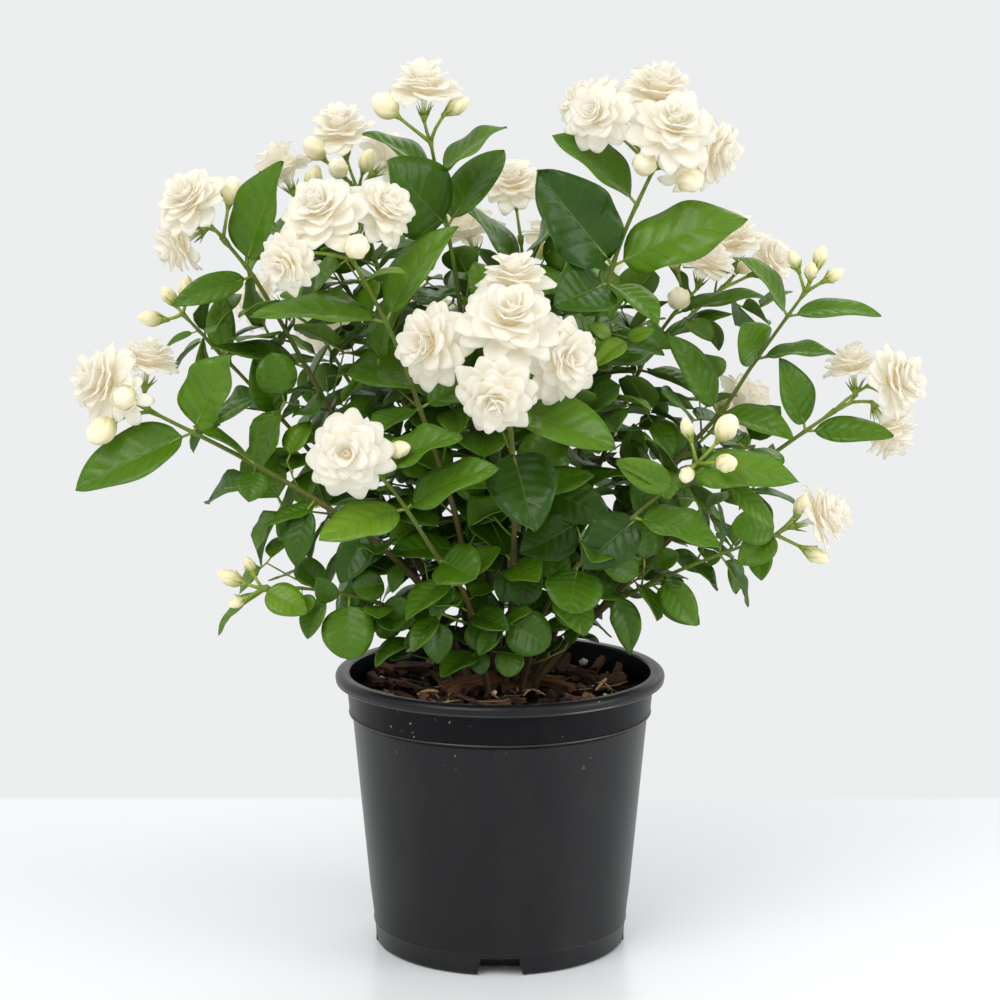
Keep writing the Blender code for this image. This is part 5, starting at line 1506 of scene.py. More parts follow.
def bark_finish(settings):
    """Bark chips: each its own brown, with grain along the chip."""
    finish = Finish("bark")
    tint = finish.attribute("tint")
    u, v = finish.uv()
    place = finish.node("CombineXYZ", {}, {0: u * 0.12, 1: v * 1.1, 2: tint * 60})
    grain = finish.noise(place, detail=4, roughness=0.6)
    crumb = finish.noise(finish.object_place(0.7), detail=3)
    colour = finish.mix(tint.between(0.25, 1.0), settings.bark, settings.red_bark)
    colour = finish.mix(tint.between(0.86, 1.0) * 0.6, colour, settings.fibre)
    colour = finish.mix(grain.between(0.42, 0.62) * 0.7, colour, settings.earth)
    colour = finish.mix(crumb.between(0.62, 0.8) * 0.3, colour, settings.fibre)
    height = grain + crumb * 0.4
    finish.finish(Specular_IOR_Level=0.2)
    return finish.finish(Base_Color=colour, Roughness=crumb * 0.15 + 0.62, Normal=finish.bump(height, 0.9))


def perlite_finish(settings):
    """Porous cream grains."""
    finish = Finish("perlite")
    pore = finish.noise(finish.object_place(1.2), detail=3)
    colour = finish.mix(pore.between(0.4, 0.7) * 0.4, settings.perlite, settings.fibre)
    return finish.finish(Base_Color=colour, Roughness=pore * 0.1 + 0.8, Normal=finish.bump(pore, 0.5))


def fibre_finish(settings):
    """Dry straw, browner with its tint."""
    finish = Finish("fibre")
    tint = finish.attribute("tint")
    fleck = finish.noise(finish.object_place(0.6), detail=3)
    colour = finish.mix(tint, settings.fibre, settings.bark)
    colour = finish.mix(fleck.between(0.4, 0.8) * 0.4, colour, settings.bark)
    return finish.finish(Base_Color=colour, Roughness=fleck * 0.1 + 0.7, Normal=finish.bump(fleck, 0.3))


@cache
def finish_of(name):
    """Each material, made once from its settings."""
    scene = bpy.context.scene
    makers = {
        "leaf_top": (leaf_top_finish, scene.jasmine_leaf),
        "leaf_under": (leaf_under_finish, scene.jasmine_leaf),
        "cane": (cane_finish, scene.jasmine_cane),
        "petal": (petal_finish, scene.jasmine_bloom),
        "tube": (tube_finish, scene.jasmine_bloom),
        "bud": (bud_finish, scene.jasmine_bloom),
        "pot": (pot_finish, scene.jasmine_pot),
        "collar": (collar_finish, scene.jasmine_pot),
        "edge": (edge_finish, scene.jasmine_pot),
        "earth": (earth_finish, scene.jasmine_mix),
        "bark": (bark_finish, scene.jasmine_mix),
        "perlite": (perlite_finish, scene.jasmine_mix),
        "fibre": (fibre_finish, scene.jasmine_mix),
    }
    make, settings = makers[name]
    return make(settings)


# Pot


def notch_shapes(inner, outer, low, high, wider):
    """The four foot notches as blocks that narrow upward, for cutting."""
    shell = bmesh.new()
    for k in range(NOTCHES):
        ends = []
        for reach in (inner, outer):
            corners = []
            for height, side in ((low, -1), (low, 1), (high, 1), (high, -1)):
                narrowing = (NOTCH_LOW_WIDTH - NOTCH_TOP_WIDTH) / 2 * height / NOTCH_HEIGHT
                half = NOTCH_LOW_WIDTH / 2 - narrowing + wider
                corners.append(shell.verts.new((reach, side * half, height)))
            pairs = zip(corners, corners[1:] + corners[:1])
            ends.append([shell.edges.new(pair) for pair in pairs])
        bmesh.ops.bridge_loops(shell, edges=ends[0] + ends[1])
        for end in ends:
            bmesh.ops.contextual_create(shell, geom=end)
        made = list(dict.fromkeys(edge.verts[i] for end in ends for edge in end for i in (0, 1)))
        turn = Matrix.Rotation(2 * math.pi * k / NOTCHES, 3, "Z")
        bmesh.ops.rotate(shell, verts=made, cent=(0, 0, 0), matrix=turn)
    bmesh.ops.recalc_face_normals(shell, faces=shell.faces)
    return shell


def cut(piece, shell, operation):
    """Applies one Boolean with the shell to the piece."""
    tool = new_object("tool", shell)
    modifier = piece.modifiers.new("cut", "BOOLEAN")
    modifier.operation = operation
    modifier.object = tool
    modifier.solver = "EXACT"
    graph = bpy.context.evaluated_depsgraph_get()
    made = bpy.data.meshes.new_from_object(piece.evaluated_get(graph))
    piece.modifiers.clear()
    piece.data = made
    bpy.data.objects.remove(tool)


def arc(centre, radius, start, stop, steps):
    """Points of a profile round a centre, with angles in degrees."""
    angles = [math.radians(start + (stop - start) * i / steps) for i in range(steps + 1)]
    return [(centre[0] + radius * math.cos(a), centre[1] + radius * math.sin(a)) for a in angles]


def pot_profile():
    """The pot's turned profile: from the underside's middle up outside, over the rim and down inside."""
    lip = (POT_HEIGHT - RIM_BOTTOM - 0.5) / 2
    middle = (RIM_RADIUS - lip, RIM_BOTTOM + 0.5 + lip)
    flange = arc(middle, lip, -90, -50, 3) + arc(middle, lip + 0.5, -46, -40, 1)
    rim = flange + arc(middle, lip, -34, 90, 8)
    foot = arc((FOOT_RADIUS, POT_EDGE), POT_EDGE * 0.85, -80, 0, 4)
    ring = [(WALL_LOW_RADIUS + 0.45, 10.5), (WALL_LOW_RADIUS + 1.0, 11.3), (WALL_LOW_RADIUS + 0.65, 12.4)]
    wall = [(WALL_LOW_RADIUS + (WALL_TOP_RADIUS - WALL_LOW_RADIUS) * z / WALL_TOP, z) for z in (30, 60, 90)]
    step = [
        (WALL_TOP_RADIUS - 0.1, WALL_TOP - 1.2), (WALL_TOP_RADIUS + 0.1, WALL_TOP),
        *arc((COLLAR_LOW_RADIUS - 0.3, COLLAR_BOTTOM + 0.4), 0.75, -80, 72, 5),
    ]
    collar = [
        (COLLAR_LOW_RADIUS + 0.05, COLLAR_BOTTOM + 1.7), (COLLAR_RADIUS - 0.1, RIM_BOTTOM - 0.6),
        (COLLAR_RADIUS + 0.4, RIM_BOTTOM + 0.2), (RIM_RADIUS - lip - 1.2, RIM_BOTTOM + 0.45),
    ]
    mouth = [
        (RIM_RADIUS - lip - 1, POT_HEIGHT), (COLLAR_RADIUS - POT_WALL + 1.2, POT_HEIGHT - 0.2),
        (COLLAR_RADIUS - POT_WALL + 0.2, POT_HEIGHT - 1), (COLLAR_RADIUS - POT_WALL, POT_HEIGHT - POT_EDGE),
    ]
    inside = [
        (COLLAR_LOW_RADIUS - POT_WALL, COLLAR_BOTTOM + 1), (WALL_TOP_RADIUS - POT_WALL, WALL_TOP - 1),
        (WALL_LOW_RADIUS - POT_WALL, POT_FLOOR + POT_EDGE), (FOOT_RADIUS - POT_WALL, POT_FLOOR),
        (0, POT_FLOOR),
    ]
    return [(0, 0)] + foot + ring + wall + step + collar + rim + mouth + inside


def turned_shell(profile, sides):
    """A shell turned round the Z axis from a profile of (radius, height) whose ends lie on the axis."""
    shell = bmesh.new()
    corners = [shell.verts.new((r, 0, z)) for r, z in profile]
    edges = [shell.edges.new(pair) for pair in zip(corners, corners[1:])]
    bmesh.ops.spin(
        shell, geom=corners + edges, axis=(0, 0, 1), cent=(0, 0, 0),
        steps=sides, angle=2 * math.pi, use_merge=True)
    bmesh.ops.remove_doubles(shell, verts=shell.verts, dist=0.01)
    bmesh.ops.recalc_face_normals(shell, faces=shell.faces)
    return shell


def make_pot(settings):
    """The pot as one closed shell, with its raised drain notches."""
    shell = turned_shell(pot_profile(), settings.sides)
    pot = add_piece("nursery_pot", shell, [finish_of("pot")], ["pot"])
    wall_end = (FOOT_RADIUS + WALL_LOW_RADIUS) / 2
    boxes = notch_shapes(NOTCH_INNER - POT_WALL, wall_end, POT_FLOOR / 2, NOTCH_HEIGHT + POT_WALL, POT_WALL)
    cut(pot, boxes, "UNION")
    cut(pot, notch_shapes(NOTCH_INNER, RIM_RADIUS, -CUT_PAST, NOTCH_HEIGHT, 0), "DIFFERENCE")
    drains = bmesh.new()
    for k in range(NOTCHES):
        around = 2 * math.pi * k / NOTCHES
        x, y = DRAIN_FROM_AXIS * math.cos(around), DRAIN_FROM_AXIS * math.sin(around)
        bmesh.ops.create_cone(
            drains, cap_ends=True, segments=24, radius1=DRAIN_RADIUS, radius2=DRAIN_RADIUS,
            depth=2 * POT_WALL + 4, matrix=Matrix.Translation((x, y, NOTCH_HEIGHT + 1)))
    cut(pot, drains, "DIFFERENCE")
    pot.data.materials.clear()
    # The collar under the rim and the inside get a duller copy of the plastic as painted shade; the step and
    # the line under the rim a brighter, glossier copy as painted highlight.
    for name in ("pot", "collar", "edge"):
        pot.data.materials.append(finish_of(name))
    for face in pot.data.polygons:
        x, y, z = face.center / MM
        # Painted shade: the collar under the rim and the inside take the duller collar copy.
        under_rim = COLLAR_BOTTOM + 1.2 < z < RIM_BOTTOM
        within = z > WALL_TOP and math.hypot(x, y) < COLLAR_RADIUS - POT_WALL + 0.5
        # Painted highlight: the step and the line under the rim take the brighter edge copy.
        step = WALL_TOP - 0.2 < z < COLLAR_BOTTOM + 1.2 or RIM_BOTTOM + 1 < z < RIM_BOTTOM + 2.1
        face.material_index = 1 if under_rim or within else 2 if step else 0
    pot.data.shade_smooth()
    pot.data.set_sharp_from_angle(angle=math.radians(32))


# Potting mix


def soil_height(x, y):
    """The uneven top of the mix: a low mound with hollows."""
    reach = math.hypot(x, y) / WALL_TOP_RADIUS
    waves = math.sin(x * 0.11 + 1.0) * math.cos(y * 0.13) + 0.6 * math.sin(x * 0.23 - y * 0.19)
    return SOIL_TOP + SOIL_MOUND * (1 - reach * reach) + waves * SOIL_WAVE


def on_mix(x, y, rise):
    """A place above the top of the mix."""
    return Vector((x, y, soil_height(x, y) + rise))


def scattered(draw, reach):
    """A random place within reach of the axis."""
    away, around = reach * math.sqrt(draw.random()), draw.uniform(0, 2 * math.pi)
    return away * math.cos(around), away * math.sin(around)


def make_mix_body():
    """The body of the mix, with a crumbly top."""
    side = POT_WALL + GAP
    top = [(radius, SOIL_TOP) for radius in range(74, 0, -2)]
    profile = [
        (0, POT_FLOOR + GAP), (FOOT_RADIUS - side - 14, POT_FLOOR + GAP),
        (FOOT_RADIUS - side - 13, NOTCH_HEIGHT + side + GAP),
        (WALL_LOW_RADIUS - side, NOTCH_HEIGHT + side + 1),
        (WALL_TOP_RADIUS - side, WALL_TOP - POT_WALL),
        (COLLAR_LOW_RADIUS - side, COLLAR_BOTTOM + 2), (COLLAR_LOW_RADIUS - side, SOIL_TOP),
        *top, (0, SOIL_TOP),
    ]
    shell = turned_shell(profile, 96)
    draw = random.Random("crumbs")
    for corner in shell.verts:
        if corner.co.z > SOIL_TOP - 1:
            corner.co.z = soil_height(corner.co.x, corner.co.y) - 1.2 + draw.uniform(-0.8, 0.8)
    add_piece("mix", shell, [finish_of("earth")], ["soil"])


def chip_block():
    """A block cut into a few faces along and across, which every chip is shaped from."""
    shell = new_shell()
    bmesh.ops.create_cube(shell, size=1)
    for axis, cuts in ((0, 3), (1, 1)):
        edges = [edge for edge in shell.edges if abs(edge.verts[0].co[axis] - edge.verts[1].co[axis]) > 0.5]
        bmesh.ops.subdivide_edges(shell, edges=edges, cuts=cuts, use_grid_fill=True)
    block = bpy.data.meshes.new("chip_block")
    shell.to_mesh(block)
    shell.free()
    return block


def lying(turn, first, second):
    """How a chip lies: tilted round X and round Y, then turned round Z."""
    return (
        Matrix.Rotation(turn, 4, "Z") @ Matrix.Rotation(first, 4, "Y") @ Matrix.Rotation(second, 4, "X"))


def add_chip(shell, block, place, turn, tilt, size, tint, draw):
    """One bark chip: a slab with broken ends and torn faces."""
    layer, uv = shell.verts.layers.float["tint"], shell.loops.layers.uv["UVMap"]
    length, width, thick = size
    shell.from_mesh(block)
    shell.verts.ensure_lookup_table()
    shell.faces.ensure_lookup_table()
    for face in shell.faces[-len(block.polygons):]:
        for loop in face.loops:
            x, y, z = loop.vert.co
            loop[uv].uv = (x * length, y * width + z * thick)
    corners = shell.verts[-len(block.vertices):]
    bend = draw.uniform(-0.06, 0.06) * length
    for corner in corners:
        x, y, z = corner.co
        narrow = 1 - (1 - CHIP_END) * (x + 0.5)
        rough = [draw.uniform(-1, 1) for _ in range(3)]
        corner.co = (
            x * length + rough[0] * 0.05 * length * (abs(x) > 0.4),
            y * width * narrow * (0.82 + 0.2 * (z < 0)) + rough[1] * 0.09 * width,
            z * thick * (0.8 + 0.2 * narrow) + rough[2] * 0.11 * thick + bend * (0.25 - x * x))
        corner[layer] = tint
    bmesh.ops.transform(shell, matrix=Matrix.Translation(place) @ lying(turn, *tilt), verts=corners)


def chip_draws():
    """The CAD's candidate chips: place, turn, tilt and size."""
    draw = random.Random("bark")
    while True:
        near, far = CHIP_FROM_AXIS
        reach, around = near + (far - near) * math.sqrt(draw.random()), draw.uniform(0, 2 * math.pi)
        x, y = reach * math.cos(around), reach * math.sin(around)
        place = on_mix(x, y, CHIP_RISE)
        size = draw.uniform(*CHIP_LENGTH), draw.uniform(*CHIP_WIDTH), draw.uniform(*CHIP_THICK)
        turn, tilt = draw.uniform(0, 2 * math.pi), draw.uniform(-1, 1) * CHIP_TILT
        yield place, turn, tilt, size


def cad_chips():
    """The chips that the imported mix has, found by their upper corners."""
    corners = node_corners("soil")
    found = []
    for place, turn, tilt, size in chip_draws():
        stands = lying(turn, tilt, tilt)
        length, width, thick = size
        upper = [
            stands @ Vector((end * length, y * width * share, thick / 2)) + place
            for end, share in ((-0.5, 1), (0.5, CHIP_END)) for y in (0.4, -0.45)]
        if sum(corners.find(corner)[2] < MATCH for corner in upper) >= 2:
            found.append((place, turn, tilt, size))
            if len(found) == CHIPS:
                return found


def make_bark(settings):
    """The twelve large chips of the CAD, and small ones scattered over and between them."""
    shell = new_shell()
    block = chip_block()
    draw = random.Random("small bark")
    for place, turn, tilt, size in cad_chips():
        add_chip(shell, block, place, turn, (tilt, tilt), size, draw.uniform(0.2, 0.75), draw)
    for _ in range(settings.chips):
        reach, around = 72 * math.sqrt(draw.random()), draw.uniform(0, 2 * math.pi)
        size = draw.uniform(3.5, 14), draw.uniform(1.8, 5.5), draw.uniform(1.2, 3)
        reach = min(reach, 74 - size[0] / 2)
        x, y = reach * math.cos(around), reach * math.sin(around)
        place = on_mix(x, y, draw.uniform(-0.8, 2.2))
        tilt = draw.uniform(-0.5, 0.5), draw.uniform(-0.5, 0.5)
        turn = draw.uniform(0, 2 * math.pi)
        add_chip(shell, block, place, turn, tilt, size, draw.random() ** 2.2, draw)
    for x, y, turn, tilt, size, tint in PHOTO_CHIPS:
        place = on_mix(x, y, 1.5 + size[1] * 0.28)
        tilt = math.radians(tilt[0]), math.radians(tilt[1])
        add_chip(shell, block, place, math.radians(turn), tilt, size, tint, draw)
    bpy.data.meshes.remove(block)
    bark = add_piece("bark_chips", shell, [finish_of("bark")])
    bark.data.set_sharp_from_angle(angle=math.radians(50))


def add_grain(shell, place, size, draw):
    """One angular, flattened grain."""
    made = bmesh.ops.create_icosphere(shell, subdivisions=1, radius=size)["verts"]
    for corner in made:
        corner.co = corner.co * draw.uniform(0.7, 1.25)
        corner.co.z *= 0.7
    turn = Matrix.Rotation(draw.uniform(0, 6), 4, "Z") @ Matrix.Rotation(draw.uniform(-0.6, 0.6), 4, "X")
    bmesh.ops.transform(shell, matrix=Matrix.Translation(place) @ turn, verts=made)


def make_perlite(settings):
    """Cream grains between the chips."""
    shell = new_shell()
    draw = random.Random("perlite")
    for _ in range(settings.grains):
        place = on_mix(*scattered(draw, 72), draw.uniform(0.2, 1.8))
        add_grain(shell, place, draw.uniform(0.7, 1.5), draw)
    for x, y, size in PHOTO_GRAINS:
        add_grain(shell, on_mix(x, y, 2.4), size, draw)
    add_piece("perlite", shell, [finish_of("perlite")])


def add_fibre(shell, line, thick, tint):
    """One thin fibre through three points."""
    line = [curve_point(line, i / 2) for i in range(5)]
    add_tube(shell, line, [thick * 0.6, thick, thick, thick, thick * 0.4], 4, [tint] * 5)


def make_fibres(settings):
    """Thin bark fibres that lie across the chips."""
    shell = new_shell()
    draw = random.Random("fibres")
    for _ in range(settings.fibres):
        middle = Vector((*scattered(draw, 62), 0))
        turn, length = draw.uniform(0, math.pi), draw.uniform(9, 24)
        ahead = Vector((math.cos(turn), math.sin(turn), 0)) * length / 2
        side = Vector((-ahead.y, ahead.x, 0)) * draw.uniform(-0.25, 0.25)
        line = [middle - ahead, middle + side, middle + ahead]
        for point in line:
            if point.length > 73:
                point *= 73 / point.length
            point.z = soil_height(point.x, point.y) + draw.uniform(2.0, 4.2)
        add_fibre(shell, line, draw.uniform(0.2, 0.5), draw.random())
    for start, stop, thick, tint in PHOTO_STRAWS:
        middle = [(a + b) / 2 for a, b in zip(start, stop)]
        line = [on_mix(*point, rise) for point, rise in ((start, 2.5), (middle, 4.2), (stop, 3.6))]
        add_fibre(shell, line, thick, tint)
    add_piece("fibres", shell, [finish_of("fibre")])


# Canes, leaves, blooms and buds


def shoots_by_stem():
    """The names of each stem's shoots."""
    grouped = {}
    for name, shoot in SHOOTS.items():
        grouped.setdefault(shoot.stem, []).append(name)
    return grouped.items()


def add_cane(shell, name):
    """One shoot's cane, swollen at its leaf nodes, browner toward its foot."""
    line = shoot_line(name, CANE_STEP)
    whole = line_length(line)
    nodes = sorted({round(grown.along, 3) for grown in cad_leaves() if grown.shoot == name})
    places = {round(line_length(line[:i + 1]) / whole, 4) for i in range(len(line))}
    for node in nodes:
        places |= {round(node + step * NODE_REACH / whole, 4) for step in (-1, 0, 1)}
    places = sorted(place for place in places if 0 <= place <= 1)
    places = [place for i, place in enumerate(places) if i == 0 or place - places[i - 1] > 0.6 / whole]
    twig = isinstance(SHOOTS[name].foot[0], str)
    has_flowers = any(flower.shoot == name for flower in FLOWERS)
    points, radii, tints = [], [], []
    for place in places:
        radius = shoot_radius(name, place) * CANE_SLIMMER
        swell = max([math.exp(-((place - node) * whole / NODE_REACH) ** 2) for node in nodes], default=0)
        if has_flowers and (1 - place) * whole < KNOB_LENGTH:
            radius = KNOB_RADIUS * 0.8
        points.append(line_point(line, place))
        radii.append(radius * (1 + NODE_SWELL * swell))
        tints.append(TWIG_TINT + 0.2 * place if twig else FOOT_TINT + (TIP_TINT - FOOT_TINT) * place)
    add_tube(shell, points, radii, CANE_SIDES, tints)


def add_calyx(shell, foot, faces, radius, seed, lobes=8, reach=7.0):
    """A green cup with slender lobes that stand round the flower's tube."""
    layer = shell.verts.layers.float["tint"]
    draw = random.Random(seed)
    turn = facing(faces)
    ahead = turn @ UP
    line = [foot - ahead * CALYX_LENGTH, foot - ahead * CALYX_LENGTH * 0.55, foot - ahead * 1.2, foot]
    add_tube(shell, line, [STALK_RADIUS * 0.9, radius * 0.72, radius, radius * 1.02], CANE_SIDES, [0.85] * 4)
    for k in range(lobes):
        around = Quaternion(UP, 2 * math.pi * (k + draw.uniform(-0.2, 0.2)) / lobes)
        lean = Quaternion(Vector((0, 1, 0)), math.radians(draw.uniform(12, 44)))
        length = reach * draw.uniform(0.75, 1.1)
        place = (
            standing(foot - ahead * 0.7, turn @ around)
            @ Matrix.Translation((radius * 0.86, 0, 0)) @ lean.to_matrix().to_4x4()
            @ Matrix.Translation((0, 0, length / 2)))
        made = bmesh.ops.create_cone(
            shell, cap_ends=True, segments=4, radius1=0.62, radius2=0.12, depth=length,
            matrix=place)["verts"]
        for corner in made:
            corner[layer] = 0.92


def add_stalk(shell, flower, end, faces):
    """A flower's curved stalk from the knob at its shoot's tip to its calyx."""
    line = shoot_line(flower.shoot)
    tip = line[-1]
    start = tip - line_direction(line, 1) * STALK_BEHIND_TIP
    ahead = Vector(faces).normalized()
    reach = (end - start).length
    middle = start.lerp(end, 0.55) - ahead * reach * 0.1
    line = [curve_point([start, middle, end], i / 2) for i in range(5)]
    radii = [STALK_RADIUS * share for share in (1.0, 0.95, 0.85, 0.8, 0.9)]
    add_tube(shell, line, radii, 6, [0.74, 0.78, 0.8, 0.84, 0.86])


def bud_foot(flower):
    """The foot and length of a bud, as the CAD has them."""
    length = flower.size * (ROUND_BUD_LENGTH if flower.size > ROUND_BUD else SLIM_BUD_LENGTH)
    return Vector(flower.place) - looks(flower) * length / 2, length


def make_canes():
    """For each stem, one piece: its canes, leaf stalks, flower stalks, calyxes and sprigs."""
    for stem, names in shoots_by_stem():
        shell = new_shell()
        for name in names:
            add_cane(shell, name)
        for grown in cad_leaves() + photo_leaves():
            if grown.shoot in names:
                start = line_point(shoot_line(grown.shoot, CANE_STEP), grown.along)
                grown.blade.add_rib(shell, start)
        for sprig in sprigs():
            if sprig.shoot in names:
                tints = [TWIG_TINT, TWIG_TINT + 0.1, TWIG_TINT + 0.2]
                add_tube(shell, sprig.line, [*SPRIG_RADIUS, SPRIG_RADIUS[1] * 0.8], 5, tints)
                for blade in sprig.blades:
                    blade.add_rib(shell, blade.base, sides=4)
        for flower in FLOWERS:
            if flower.shoot not in names:
                continue
            ahead = looks(flower)
            if flower.kind == "bloom":
                foot = bloom_places()[flower][0] - ahead * (TUBE_LENGTH + GAP)
                add_stalk(shell, flower, foot - ahead * (CALYX_LENGTH - 1.6), ahead)
                add_calyx(shell, foot + ahead * 1.0, ahead, CALYX_RADIUS, str(flower.place))
            else:
                foot, _ = bud_foot(flower)
                add_stalk(shell, flower, foot - ahead * 1.0, ahead)
                radius, reach = min(2.2, 0.22 * flower.size + 0.5), 2 + 0.35 * flower.size
                add_calyx(shell, foot + ahead * 1.8, ahead, radius, str(flower.place), 7, reach)
        add_piece(stem.replace("stem", "canes"), shell, [finish_of("cane")], [stem])


def make_leaves(settings):
    """For each stem, one piece with all its blades."""
    for stem, names in shoots_by_stem():
        shell = new_shell()
        for grown in cad_leaves() + photo_leaves():
            if grown.shoot in names:
                grown.blade.add_to(shell)
        for sprig in sprigs():
            if sprig.shoot in names:
                for blade in sprig.blades:
                    blade.add_to(shell)
        finishes = [finish_of("leaf_top"), finish_of("leaf_under")]
        piece = add_piece(stem.replace("stem", "leaves"), shell, finishes, [stem], closed=False)
        give_thickness(piece, settings.thickness, -1, under=1)


def petal_share(along):
    """A petal's half width, as a share of its widest, from its claw to its rounded end."""
    if along < PETAL_WIDEST:
        return PETAL_CLAW + (1 - PETAL_CLAW) * math.sin(math.pi / 2 * along / PETAL_WIDEST)
    return 1 - (1 - PETAL_END) * ((along - PETAL_WIDEST) / (1 - PETAL_WIDEST)) ** 2


def add_petal(shell, radius, whorl, around, place, draw, deep):
    """One spoon-shaped petal of a whorl, bent in the plane of the bloom's axis and cupped across it."""
    layer = shell.verts.layers.float["tint"]
    length = radius * whorl.length * draw.uniform(0.9, 1.06)
    half = radius * whorl.half_width * draw.uniform(0.85, 1.2)
    low = math.radians(whorl.low_rise + draw.uniform(-7, 7))
    tip = math.radians(whorl.tip_rise + draw.uniform(-16, 16))
    cup = whorl.cup * draw.uniform(0.3, 1.6)
    lean = draw.uniform(-0.22, 0.22)
    phase = draw.uniform(0, 6)
    pointed = draw.uniform(-0.01, 0.05)
    turned = Quaternion(UP, around)
    for corner in add_grid(shell, *PETAL_GRID):
        across, along = corner.co.x, (corner.co.y + 1) / 2
        wide = half * petal_share(along) * across
        rounded = PETAL_ROUND * across ** 2 * along ** 2
        drawn_out = pointed * (1 - abs(across)) * along ** 4
        point_share = along * (1 - rounded + drawn_out)
        rise = low + (tip - low) * point_share
        out = THROAT_RADIUS * 0.8 + length * (math.sin(rise) - math.sin(low)) / (tip - low)
        up = length * (math.cos(low) - math.cos(rise)) / (tip - low)
        ripple = PETAL_RIPPLE * half * math.sin(4.5 * across + phase) * along ** 2
        cupped = cup * half * across ** 2 * math.sin(math.pi * min(1, along * 0.85)) + ripple
        bend = max(out / whorl.wrap, radius * 0.12 / whorl.wrap, half / PETAL_WRAP)
        inward = bend * (1 - math.cos(wide / bend))
        lateral = bend * math.sin(wide / bend) + lean * half * along
        corner.co = Vector((
            out - inward - cupped * math.sin(rise), lateral, up + cupped * math.cos(rise) + lean * wide))
        corner.co = place @ (turned @ corner.co)
        # Inner whorls carry more of the heart's ochre, which is partly painted shade.
        corner[layer] = deep


def add_heart(shell, radius, place, draw):
    """The furled middle of a bloom: a lapped scroll that opens upward."""
    layer = shell.verts.layers.float["tint"]
    height = radius * draw.uniform(*HEART_HEIGHT_SHARE)
    start = draw.uniform(0, 6)
    for corner in add_grid(shell, *HEART_GRID):
        turn, along = (corner.co.x + 1) / 2, (corner.co.y + 1) / 2
        angle = start + turn * 2 * math.pi * HEART_TURNS
        bulge = 0.55 + 0.45 * math.sin(math.pi * min(1, 0.25 + along * 0.6))
        reach = radius * (0.035 + 0.085 * turn) * bulge
        lip = 0.9 + 0.1 * math.sin(angle * 1.5)
        corner.co = place @ Vector((
            reach * math.cos(angle), reach * math.sin(angle), height * along * lip * (1 - 0.12 * turn)))
        corner[layer] = 1


def add_flower_tube(shell, place):
    """The slim tube below a bloom, open and flared at its throat."""
    layer = shell.verts.layers.float["tint"]
    rings = []
    for height, reach, tint in TUBE_LEVELS:
        corners, edges = add_ring(shell, (0, 0, height), Quaternion(), reach, TUBE_SIDES)
        for corner in corners:
            corner[layer] = tint
        rings.append((corners, edges))
    faces = []
    for low, high in zip(rings, rings[1:]):
        faces += bmesh.ops.bridge_loops(shell, edges=low[1] + high[1])["faces"]
    for face in faces:
        face.material_index = 1
    bmesh.ops.recalc_face_normals(shell, faces=faces)
    corners = [corner for ring, _ in rings for corner in ring]
    bmesh.ops.transform(shell, matrix=place, verts=corners)


def add_bloom(shell, throat, faces, radius, whorls, seed):
    """Whorls of petals one over another; gives their place, and the draw for what stands in their middle."""
    draw = random.Random(seed)
    place = standing(throat, facing(faces))
    turn = draw.uniform(0, 6)
    for number, whorl in enumerate(whorls):
        turn += WHORL_TURN * 2 * math.pi / whorl.petals
        for k in range(whorl.petals):
            around = turn + 2 * math.pi * (k + draw.uniform(-0.24, 0.24)) / whorl.petals
            add_petal(shell, radius, whorl, around, place, draw, number / len(whorls))
    return place, draw


def make_blooms(settings):
    """Each open bloom as one piece: its petals and its tube."""
    for number, (flower, (throat, radius)) in enumerate(bloom_places().items(), 1):
        shell = new_shell()
        seed = f"petals {flower.shoot} {flower.place}"
        fuller = max(radius * BLOOM_FULLER[0], min(flower.size / 2, radius * BLOOM_FULLER[1]))
        fuller *= SMALLER_BLOOMS.get(flower.place, 1)
        place, draw = add_bloom(shell, throat, flower.faces, fuller, WHORLS, seed)
        add_heart(shell, fuller, place, draw)
        add_flower_tube(shell, place)
        name = f"bloom_{number:02d}"
        finishes = [finish_of("petal"), finish_of("tube")]
        piece = add_piece(name + "_petals", shell, finishes, [name], closed=False)
        give_thickness(piece, settings.thickness, 0)


def add_bud(shell, foot, length, flower, draw):
    """A furled bud: an egg whose petals lap in a spiral."""
    layer = shell.verts.layers.float["tint"]
    place = standing(foot, facing(flower.faces))
    fat = flower.size > ROUND_BUD
    sides, rows = BUD_SIDES
    made = bmesh.ops.create_uvsphere(shell, u_segments=sides, v_segments=rows, radius=1)["verts"]
    start = draw.uniform(0, 6)
    for corner in made:
        angle = math.atan2(corner.co.y, corner.co.x)
        along = (corner.co.z + 1) / 2
        flat = math.hypot(corner.co.x, corner.co.y)
        lap = ((angle + start) / (2 * math.pi) * BUD_LAPS + along * 1.6) % 1
        belly = 1.0 if fat else 0.9 + 0.18 * math.sin(math.pi * (1 - along) ** 0.8)
        narrow = 1 - (0.08 if fat else 0.34) * along ** 2
        reach = flower.size / 2 * flat * belly * narrow * (0.84 + 0.16 * lap)
        corner.co = place @ Vector((reach * math.cos(angle), reach * math.sin(angle), length * along))
        corner[layer] = along * (1.15 if fat else 0.8) * (0.6 + 0.4 * min(1, lap * 3))


